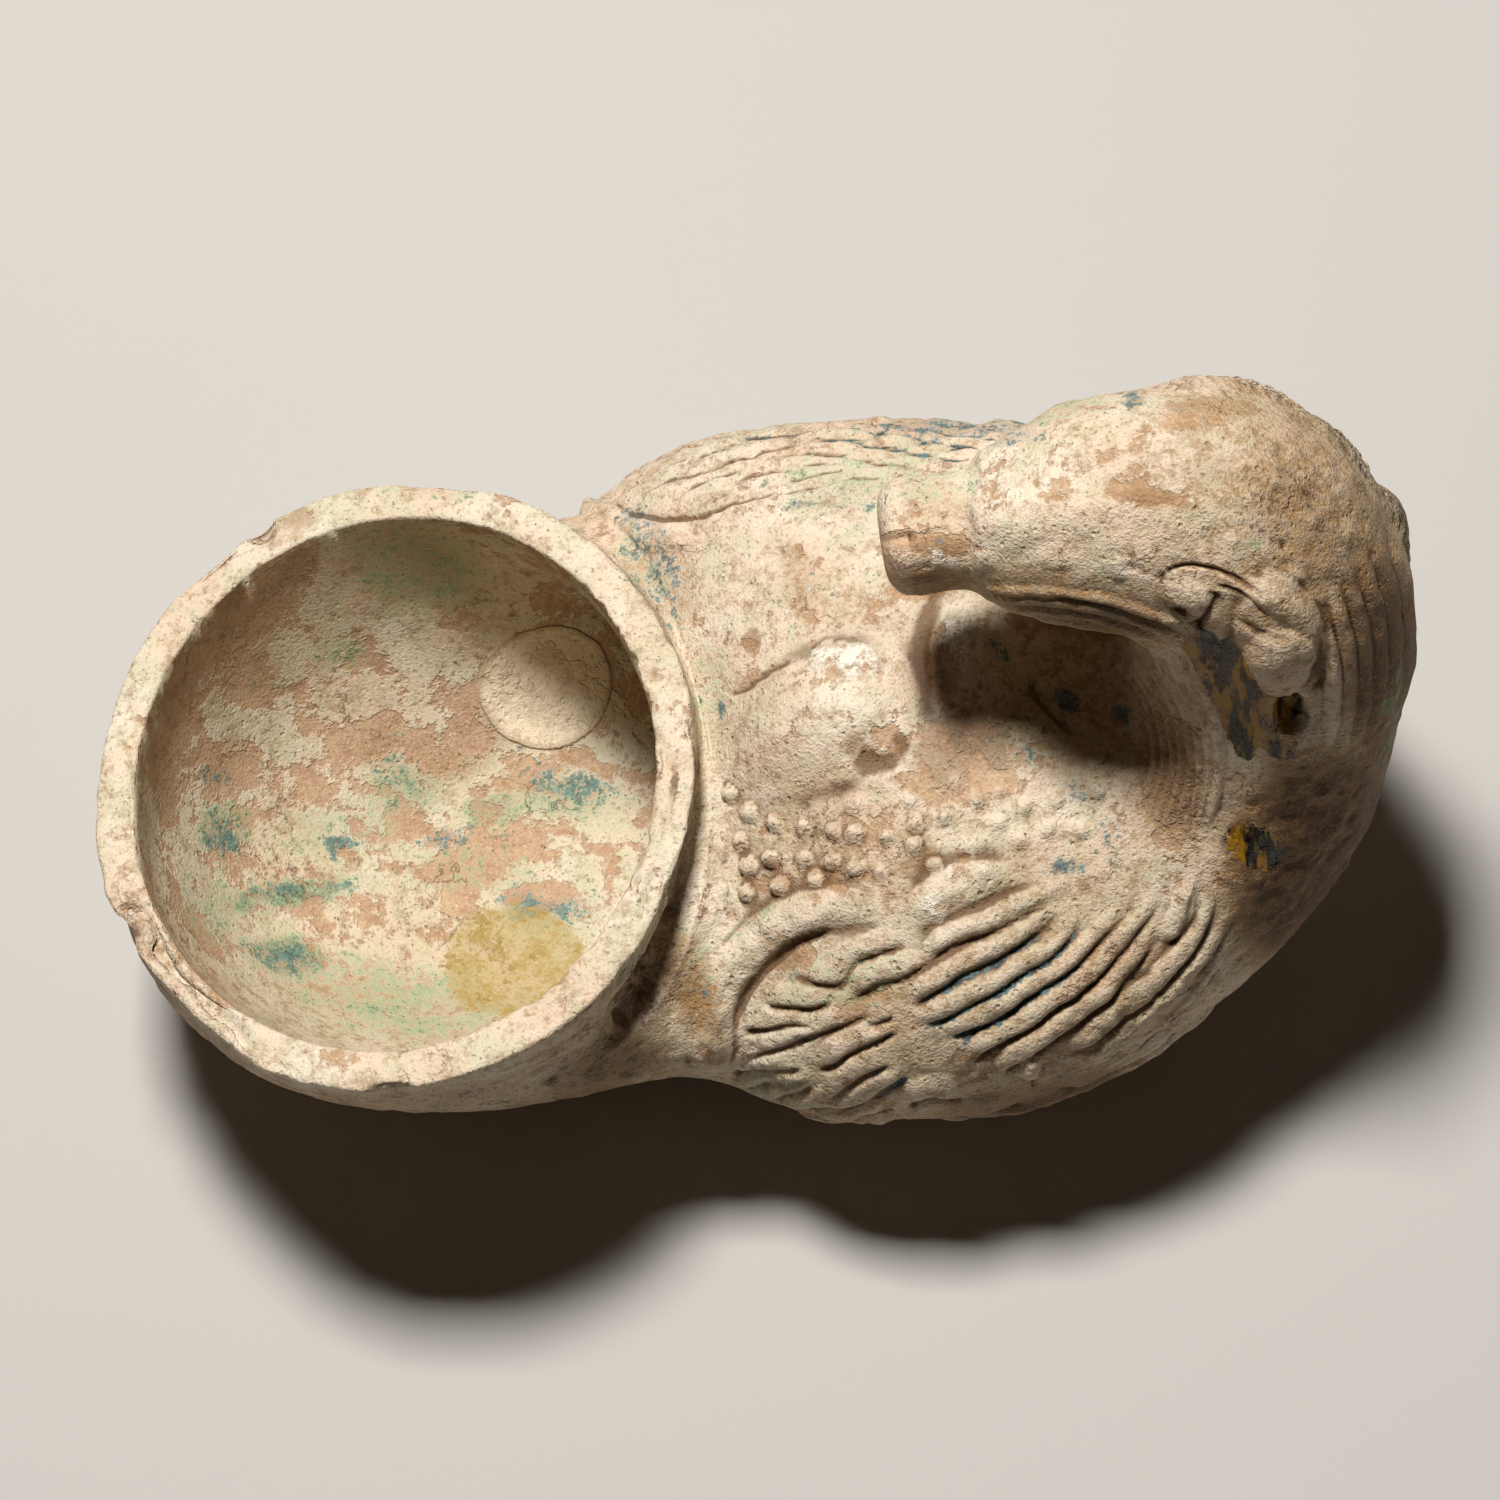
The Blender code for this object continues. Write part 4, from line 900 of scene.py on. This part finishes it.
runs = [ridge(flat_places, line, half_width, (0.08, 0.30), 0.6) for line, half_width in DARK_GLOSS_RUNS]
gloss = np.maximum(stained(near, DARK_GLOSS), np.max(runs, axis=0).reshape(near.shape[:2]))
masks["dark_gloss"][outer] = gloss * front * part_way(at, BREAST, BREAST + 0.6)[:, None]
print("glossy points: %.1f %%" % (100 * np.mean(masks["dark_gloss"][outer] > 0.5)))

# %% Tan and what is left of the skin
# Brown deepens toward the crown and on the hidden sides; toward the breast and down the flanks it is painted
# shade
CROWN_TAN, BREAST_SHADE, FLANK_SHADE, HIDDEN_TAN = 0.85, 0.75, 0.80, 0.60
OVAL_TAN_AND_SHADE, CUP_TAN, TAN_AND_SHADE_STIRRED, MOST_TAN_AND_SHADE = 0.90, 0.35, 0.18, 1.5
# The least skin left in the cup, the least and the swing outside, and what bare clay takes of both
CUP_SKIN_LEAST, SKIN_LEAST, SKIN_SWING = 0.60, 0.72, 0.25
CUP_BARED, BARED = 0.70, 0.75
across, along = near[..., 0], near[..., 1]
to_crown = CROWN_TAN * ease(across, 22, 62) * ease(0.35 * across + along, 12, 34)
breast_shade = BREAST_SHADE * ease(across, 48, 66)
flank_shade = FLANK_SHADE * ease(-winged[..., 1], 22, 44) * off_head
brown_and_shade = np.max([to_crown, breast_shade, flank_shade, HIDDEN_TAN * (1 - front)], axis=0) * (1 - on_lip)
brown_and_shade = np.maximum(brown_and_shade, OVAL_TAN_AND_SHADE * stained(near, TAN_AND_SHADE) * front)
masks["tanned"][outer] = np.clip(brown_and_shade + TAN_AND_SHADE_STIRRED * uneven(plain, 6.0, 22), 0, MOST_TAN_AND_SHADE)

# The lip and the cup have stains of their own
for name, ovals in (("earth", LIP_EARTH), ("green", LIP_GREEN), ("bare", LIP_BARE)):
    masks[name][rim] = stained(on_sheet(lip), ovals)
    masks[name][outer] = np.maximum(masks[name][outer], stained(near, ovals) * on_lip * front)
within = on_sheet(hollow)
for name, ovals in (("blue", CUP_BLUE), ("green", CUP_GREEN), ("skin_left", CUP_SKIN), ("bare", CUP_BARE)):
    masks[name][inner] = stained(within, ovals)
masks["tanned"][inner] = CUP_TAN * ease(-within[..., 1], 12, 26)
skin_left = np.maximum(masks["skin_left"][inner], CUP_SKIN_LEAST)
masks["skin_left"][inner] = skin_left - CUP_BARED * masks["bare"][inner]
masks["skin_left"][first_lip:] = SKIN_LEAST + SKIN_SWING * (0.5 + 0.5 * uneven(skin, 9.0, 21)[first_lip:])
masks["skin_left"][outer] *= 1 - BARED * masks["bare"][outer]
masks["skin_left"][first_muzzle:] = masks["skin_left"][first_muzzle - 1]
print("finishes noted:", ", ".join(masks))

# %% [markdown]
# ## One closed skin
# The rings become one closed mesh. Two fans of triangles close its ends, the belly is pressed flat on
# the ground, and nothing is let past the box of the solid. A Decimate modifier then spends triangles
# where the carving is and saves them where the wall is plain.
# %% The mesh
SLACK = 0.00003  # in metres, how far the shown skin stays inside the solid's box
MUZZLE_END, HOLLOW_END = -1, 0  # the grid's last ring and its first


def closed_skin(name, grid, fields):
    """Quads from ring to ring, a fan on each end, all turned outwards by the sign of the volume."""
    count = len(grid)
    index = np.arange(count * AROUND).reshape(count, AROUND)
    turned = np.roll(index, -1, axis=1)
    quads = np.stack([index[:-1], index[1:], turned[1:], turned[:-1]], axis=-1).reshape(-1, 4)
    first, last = count * AROUND, count * AROUND + 1
    fans = np.concatenate([
        np.stack([np.full(AROUND, first), index[0], turned[0]], axis=-1),
        np.stack([np.full(AROUND, last), turned[-1], index[-1]], axis=-1)])
    ends = grid[[HOLLOW_END, MUZZLE_END]].mean(axis=1)
    points = np.vstack([grid.reshape(-1, 3), ends])
    low_corner, high_corner = (np.array(corner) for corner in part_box("rhyton"))
    points = np.clip(points, low_corner + SLACK, high_corner - SLACK)
    corner = points[np.concatenate([quads[:, :3], quads[:, [0, 2, 3]], fans])]
    volume = np.einsum("ij,ij->i", corner[:, 0], np.cross(corner[:, 1], corner[:, 2])).sum() / 6
    if volume < 0:
        quads, fans = quads[:, ::-1], fans[:, ::-1]
    mesh = bpy.data.meshes.new(name)
    mesh.from_pydata(points.tolist(), [], quads.tolist() + fans.tolist())
    mesh.shade_smooth()
    for mask, values in fields.items():
        kept = mesh.attributes.new(mask, "FLOAT", "POINT")
        whole = np.concatenate([values.ravel(), values[[HOLLOW_END, MUZZLE_END]].mean(axis=1)])
        kept.data.foreach_set("value", whole.astype(np.float32))
    return mesh, 2 * len(quads) + len(fans), abs(volume) / MM**3


print("slack inside the solid's box: %.2f mm" % (SLACK / MM))

# %% The piece
mesh, triangles, cubic_mm = closed_skin("rhyton_cup", (skin - MIDDLE) * MM, masks)
rhyton_cup = bpy.data.objects.new("rhyton_cup", mesh)
bpy.context.scene.collection.objects.link(rhyton_cup)
if triangles > TRIANGLES_LEFT:
    thinned = rhyton_cup.modifiers.new("thinned", "DECIMATE")
    thinned.ratio = TRIANGLES_LEFT / triangles
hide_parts("rhyton")
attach(rhyton_cup, "root")
print("rhyton_cup: %.0f ml of clay in %d triangles before thinning" % (cubic_mm / 1000, triangles))

# %% [markdown]
# ## The finish: earthenware under a decayed lead glaze
# Buff earthenware fires to a pinkish cream and stays matt and porous. The lead glaze over it has
# weathered to a chalky skin, pale green where it was green and grey-blue where cobalt pooled. Where it
# stayed whole it is nearly black, amber at its thin edges, and wet-looking. The layers below go on in the
# order in which they formed: clay, skin, stains, scale, earth, gloss. The tan, the earth and the grooves
# also carry painted shade.
# %% Node helper


def linear(code):
    """An sRGB hex value to linear light: ((c + 0.055) / 1.055)^2.4, or c / 12.92 near black."""
    parts = [int(code[k:k + 2], 16) / 255 for k in (1, 3, 5)]
    return tuple(c / 12.92 if c <= 0.04045 else ((c + 0.055) / 1.055) ** 2.4 for c in parts) + (1.0,)


def put(kind, inputs=(), output=0, **settings):
    """Add one shader node, set its own fields, fill its inputs with values or links, and give one output."""
    made = tree.nodes.new("ShaderNode" + kind)
    for name, value in settings.items():
        setattr(made, name, value)
    for socket, value in inputs.items() if isinstance(inputs, dict) else enumerate(inputs):
        if isinstance(value, bpy.types.NodeSocket):
            tree.links.new(value, made.inputs[socket])
        else:
            made.inputs[socket].default_value = value
    return made.outputs[output]


finish = bpy.data.materials.new("weathered_lead_glaze_on_buff_earthenware")
finish.use_nodes = True
tree = finish.node_tree
tree.nodes.clear()
where = put("TexCoord", output="Object")
field = {name: put("Attribute", output="Fac", attribute_name=name) for name in masks}
print("masks read by the finish:", len(field))

# %% [markdown]
# ## Patterns at their real sizes
# All of them are solid noises read in the object's own coordinates, so they run through the clay. The
# sizes are in millimetres: broad clouds of colour, flakes of skin, crumbs, and the sandy grain. Real grit
# is nearer a tenth of a millimetre, too fine to show here, so it is drawn three times as coarse. The
# flow of the glaze is drawn out along two axes, and the cracks waver with the flakes.
# %% Patterns
DRAWN_OUT = (1.0, 0.2, 0.25)
flowing = put("VectorMath", (where, DRAWN_OUT), operation="MULTIPLY")
# Size, octaves, roughness and the place it is read at
NOISES = {"clouds": (13.0, 2, 0.55, where), "drift": (5.0, 4, 0.65, where), "flakes": (2.4, 4, 0.68, where),
          "crumbs": (0.9, 3, 0.72, where), "grain": (0.32, 2, 0.7, where), "flow": (2.0, 3, 0.6, flowing)}
pattern = {}
for name, (size, octaves, roughness, place) in NOISES.items():
    settings = {"Vector": place, "Scale": 1 / (size * MM), "Detail": octaves, "Roughness": roughness}
    pattern[name] = put("TexNoise", settings)
CRACK_WAVER = (0.004, 0.004, 0.004)
flake_colour = pattern["flakes"].node.outputs["Color"]
wavering = put("VectorMath", (flake_colour, CRACK_WAVER, where), operation="MULTIPLY_ADD")
for name, size, place, feature in (
    ("specks", 0.8, where, "F1"), ("pits", 1.0, where, "F1"), ("cracks", 4.6, wavering, "DISTANCE_TO_EDGE"),
):
    pattern[name] = put("TexVoronoi", {"Vector": place, "Scale": 1 / (size * MM)}, feature=feature)
BLENDS = {
    "crumbled": {"flakes": 0.42, "crumbs": 0.36, "grain": 0.22},
    "flaked": {"drift": 0.55, "flakes": 0.30, "crumbs": 0.15},
    "sandy": {"grain": 0.20, "crumbs": 0.20, "flakes": 0.18},
}
for name, weights in BLENDS.items():
    pattern[name] = 0.0
    for part, weight in weights.items():
        pattern[name] = put("Math", (pattern[part], weight, pattern[name]), operation="MULTIPLY_ADD")
print("patterns:", ", ".join(pattern))

# %% [markdown]
# ## Marks inside the cup
# Two round marks on the wall are found by their distance from a point on the clay: an ochre stain, and
# a plain disc of old paper, left blank.
# %% Marks


def place_in_cup(across, along):
    """The point of the hollow that shows nearest to a place on the sheet."""
    seen_there = within[RINGS_HOLLOW // 3:]
    nearest = np.argmin(np.linalg.norm(seen_there - np.array([across, along]), axis=-1))
    return (hollow[RINGS_HOLLOW // 3:].reshape(-1, 3)[nearest] - MIDDLE) * MM


# Each mark: place on the sheet, radius, how ragged its edge is and how soft, all in millimetres
MARKS = {"ochre": ((-23.3, -21.5), 7.4, 3.5, 0.7), "disc": ((-20.2, 6.5), 7.0, 0.6, 0.15)}
RIM_WORN = 0.9
marks = {}
for name, (middle, radius, raggedness, softness) in MARKS.items():
    spot = place_in_cup(*middle)
    off = put("VectorMath", (where, tuple(spot)), "Value", operation="DISTANCE")
    rippled = put("Math", (pattern["flakes"], raggedness, -raggedness / 2), operation="MULTIPLY_ADD")
    off = put("Math", (off, 1 / MM, rippled), operation="MULTIPLY_ADD")
    marks[name] = (off, radius + softness, radius - softness)
    print(name, "at", np.round(spot / MM, 1), "mm")
# The last mark is the paper, and its rim is the most worn
marks["rim"] = (off, radius - RIM_WORN, radius, 0.0, 0.65)

# %% [markdown]
# ## Layers of the finish
# Each layer is a colour and a share that says where it lies, and they are laid one over the other in
# the order in which they formed. The same shares raise the surface a little later on, so that a flake
# of skin has an edge. Dirt follows the low places of the same crumbling noise that makes the bumps.
# %% Shares
EASED = {"interpolation_type": "SMOOTHSTEP"}
# Specks gather where the drift is high, and a little more readily inside the cup
speckled = put("Math", (field["inside"], 0.06, pattern["drift"]), operation="MULTIPLY_ADD")
# Stepped from one pattern: the levels where the share starts and where it is full, its least and its most
STEPPED = {
    "buff": (pattern["flakes"], 0.38, 0.62), "burnt": (pattern["crumbs"], 0.48, 0.70, 0.0, 0.5),
    "pink": (pattern["clouds"], 0.38, 0.62), "film": (pattern["drift"], 0.44, 0.60, 0.0, 0.5),
    "dirt": (pattern["crumbled"], 0.54, 0.39, 0.0, 0.62), "salt": (pattern["grain"], 0.60, 0.76, 0.0, 0.55),
    "pale_blue": (pattern["crumbs"], 0.42, 0.60), "pale_green": (pattern["crumbs"], 0.44, 0.60),
    "thin_green": (field["green"], 0.90, 0.50), "amber": (pattern["flow"], 0.48, 0.58),
    "olive": (pattern["flow"], 0.42, 0.32), "speck": (pattern["specks"], 0.22, 0.08, 0.0, 0.60),
    "speckled": (speckled, 0.42, 0.58), "crack": (pattern["cracks"], 0.022, 0.006, 0.0, 0.5),
    "cracked": (pattern["clouds"], 0.58, 0.66), "pit": (pattern["pits"], 0.30, 0.10, 0.0, 0.16),
    "pitted": (pattern["drift"], 0.46, 0.58), "washed": (pattern["crumbled"], 0.60, 0.42, 0.50, 1.0),
    "thinned": (pattern["crumbled"], 0.40, 0.60, 0.80, 0.45),
    "soiled": (pattern["crumbled"], 0.46, 0.62, 0.0, 0.5),
} | marks
share = {name: put("MapRange", inputs, **EASED) for name, inputs in STEPPED.items()}
share["inside"], share["raised"] = field["inside"], field["proud"]
# Ragged edges: the mask, the blend that stirs it and how far, then the two levels and the most
RAGGED = {
    "skin": ("skin_left", "flaked", 3.4, 0.46, 0.62, 0.95), "bare": ("bare", "flaked", 3.4, 0.30, 0.60, 0.70),
    # Brown in the sunk places: partly dirt, partly painted shade in the grooves
    "grooves": ("sunk", "crumbled", 2.0, 0.22, 0.90, 0.85),
    "green": ("green", "crumbled", 4.4, 0.36, 1.05, 0.90),
    "blue": ("blue", "crumbled", 5.5, 0.40, 1.05, 0.90),
    # Deep brown where the tan is strongest: mostly painted shade under the jaw and head, on the breast and
    # down the flank
    "deep": ("tanned", "crumbled", 1.2, 0.80, 1.40, 0.80),
    # Earth brown, partly painted shade below the rim and down the lower flank
    "earth": ("earth", "crumbled", 5.0, 0.35, 1.00, 0.80),
    "scale": ("crust", "crumbled", 4.2, 0.45, 0.95, 0.75),
    "gloss": ("dark_gloss", "crumbled", 2.4, 0.36, 0.46, 1.0),
}
for name, (mask, blend, spread, low, high, most) in RAGGED.items():
    broken = put("Math", (pattern[blend], spread, field[mask]), operation="MULTIPLY_ADD")
    share[name] = put("MapRange", (broken, low + spread / 2, high + spread / 2, 0.0, most), **EASED)
# One share times another, or times a plain number
for name, first, second in (
    ("speck", "speck", share["speckled"]), ("crack", "crack", share["cracked"]),
    ("pit", "pit", share["pitted"]),
    # The tan wash follows the tan mask, so it is partly tan and partly painted shade
    ("wash", "washed", field["tanned"]), ("proud", "raised", 0.35), ("teal", "inside", 0.28),
    ("ochre", "ochre", share["inside"]), ("ochre", "ochre", share["thinned"]),
    ("disc", "disc", share["inside"]),
):
    share[name] = put("Math", (share[first], second), operation="MULTIPLY", use_clamp=True)
share["film"] = put("Math", (field["inside"], 0.18, share["film"]), operation="MULTIPLY_ADD", use_clamp=True)
print("shares:", ", ".join(share))

# %% Colours and layers
# Each colour as it starts, and what is mixed into it by which share
COLOURS = {
    "clay": ("#CCAC92", ("buff", "#C8AB88"), ("burnt", "#9A7452")),
    "skin": ("#E3D6C1", ("pink", "#DEC6AD"), ("film", "#C6C4A2")),
    # Inside the cup the bare clay is lighter: painted light on the hollow's shaded wall
    "bare": ("#9A7452", ("inside", "#B8997A")),
    "green": ("#35654F", ("pale_green", "#9AAA80"), ("thin_green", "#9AAA80")),
    "blue": ("#1C323C", ("pale_blue", "#54767A"), ("teal", "#6F967F")),
    "gloss": ("#070403", ("amber", "#9A6F14"), ("olive", "#6E6A1E")),
    "disc": ("#F0DFC2", ("soiled", "#AA9272"), ("rim", "#AA9272")),
    # The wash and the deep brown are partly tan and partly painted shade; the groove and earth browns are
    # partly dirt and partly painted shade
    "wash": ("#A5845A",), "proud": ("#E3D6C1",), "deep": ("#543A20",), "dirt": ("#937046",),
    "salt": ("#F0E6D2",), "grooves": ("#684727",), "earth": ("#5E4227",), "crack": ("#4A301A",),
    "scale": ("#EFE8D8",), "speck": ("#4A301A",), "ochre": ("#A68D46",),
}
LAYERS = "skin bare wash proud deep dirt salt grooves green blue earth crack scale speck gloss ochre disc"
colours = {}
for name, (start, *mixed_in) in COLOURS.items():
    colours[name] = linear(start)
    for part, code in mixed_in:
        mix = {0: share[part], 6: colours[name], 7: linear(code)}
        colours[name] = put("Mix", mix, 2, data_type="RGBA")
colour = colours["clay"]
for name in LAYERS.split():
    colour = put("Mix", {0: share[name], 6: colour, 7: colours[name]}, 2, data_type="RGBA")
matt = 0.88
for name, roughness in (("skin", 0.70), ("blue", 0.55), ("scale", 0.30), ("gloss", 0.10)):
    matt = put("Mix", {0: share[name], 2: matt, 3: roughness})
print("layers laid:", len(LAYERS.split()), "in", len(tree.nodes), "nodes so far")

# %% [markdown]
# ## Relief finer than the mesh
# Sandy grain, crumbs, pits, cracks and the edges of the flakes are a few tenths of a millimetre deep at
# most, so they are left to a Bump node. Everything deeper is in the mesh.
# %% Bump and shader
height = put("Math", (pattern["sandy"], share["pit"]), operation="SUBTRACT")
# The cup's wall is smoother, and so is the gloss
calm = 1.0
for name, left in (("inside", 0.55), ("gloss", 0.8)):
    calm = put("Mix", {0: share[name], 2: calm, 3: left})
height = put("Math", (height, calm), operation="MULTIPLY")
for name, thickness in (("skin", 0.11), ("scale", 0.08), ("gloss", 0.10), ("disc", 0.22), ("crack", -0.10)):
    height = put("Math", (share[name], thickness, height), operation="MULTIPLY_ADD")
bump = put("Bump", {"Height": height, "Distance": MM, "Strength": 1.0})
shader = put("BsdfPrincipled", {"Base Color": colour, "Roughness": matt, "Normal": bump, "IOR": 1.5,
                                "Metallic": 0.0, "Specular IOR Level": 0.35})
tree.links.new(shader, tree.nodes.new("ShaderNodeOutputMaterial").inputs["Surface"])
rhyton_cup.data.materials.append(finish)
print("nodes in the finish:", len(tree.nodes))

# %% [markdown]
# ## Floor, light and camera
# A plain pale floor, one large soft lamp above and to the left, and a little light from all round. The
# camera looks down on the vessel from the same side as the sheet.
# %% Floor
FLOOR_HALF, FLOOR_GREY, FLOOR_ROUGHNESS = 3.0, linear("#BDBAB5"), 0.85
floor_mesh = bpy.data.meshes.new("floor")
corners = [(x * FLOOR_HALF, y * FLOOR_HALF, 0) for x, y in ((-1, -1), (1, -1), (1, 1), (-1, 1))]
floor_mesh.from_pydata(corners, [], [range(4)])
floor = bpy.data.objects.new("floor", floor_mesh)
bpy.context.scene.collection.objects.link(floor)
paint = bpy.data.materials.new("matt_pale_paint")
paint.use_nodes = True
paint_shader = paint.node_tree.nodes["Principled BSDF"]
paint_shader.inputs["Base Color"].default_value = FLOOR_GREY
paint_shader.inputs["Roughness"].default_value = FLOOR_ROUGHNESS
floor.data.materials.append(paint)
floor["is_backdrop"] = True
print("floor:", 2 * FLOOR_HALF, "m square")

# %% Light
LAMP_DISTANCE, LAMP_SIZE, LAMP_POWER, LAMP_COLOUR = 0.80, 0.14, 8.7, (1.0, 0.975, 0.945)
ROOM_COLOUR, ROOM_STRENGTH = linear("#F2DCC2"), 0.025


def aimed(toward_it, up_it):
    """A turn whose Z points back along the view and whose Y is as near to up as it can be."""
    z = toward_it / np.linalg.norm(toward_it)
    x = np.cross(up_it, z)
    x = x / np.linalg.norm(x)
    return Matrix(np.stack([x, np.cross(z, x), z], axis=1).tolist()).to_4x4()


lamp_from = -0.20 * RIGHT + 0.72 * UP + 1.0 * TOWARD
lamp_from = lamp_from / np.linalg.norm(lamp_from)
lamp_data = bpy.data.lights.new("softbox", "AREA")
lamp_data.energy = LAMP_POWER
lamp_data.size = LAMP_SIZE
lamp_data.color = LAMP_COLOUR
lamp = bpy.data.objects.new("softbox", lamp_data)
lamp.matrix_world = Matrix.Translation((lamp_from * LAMP_DISTANCE).tolist()) @ aimed(lamp_from, UP)
bpy.context.scene.collection.objects.link(lamp)
world = bpy.data.worlds.new("studio")
world.use_nodes = True
world.node_tree.nodes["Background"].inputs["Color"].default_value = ROOM_COLOUR
world.node_tree.nodes["Background"].inputs["Strength"].default_value = ROOM_STRENGTH
bpy.context.scene.world = world
bpy.context.scene.view_settings.view_transform = "Standard"
print("lamp:", LAMP_SIZE, "m square,", LAMP_DISTANCE, "m away")

# %% Camera
HALF_FRAME, NEAREST, FARTHEST = 75.0, 0.01, 20
camera_data = bpy.data.cameras.new("camera")
camera_data.angle = 2 * math.atan(HALF_FRAME / SHEET_DISTANCE)
camera_data.clip_start, camera_data.clip_end = NEAREST, FARTHEST
camera = bpy.data.objects.new("camera", camera_data)
spot = SHEET_ANCHOR - SHEET_ANCHOR_AT[0] * RIGHT - SHEET_ANCHOR_AT[1] * UP + SHEET_DISTANCE * TOWARD
camera.matrix_world = Matrix.Translation(((spot - MIDDLE) * MM).tolist()) @ aimed(TOWARD, UP)
bpy.context.scene.collection.objects.link(camera)
bpy.context.scene.camera = camera
print("camera's view: %.1f degrees" % math.degrees(camera_data.angle))

# %% Sizes and finish
low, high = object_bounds()
print("shown box, mm:", [round(1000 * v, 1) for v in low], [round(1000 * v, 1) for v in high])
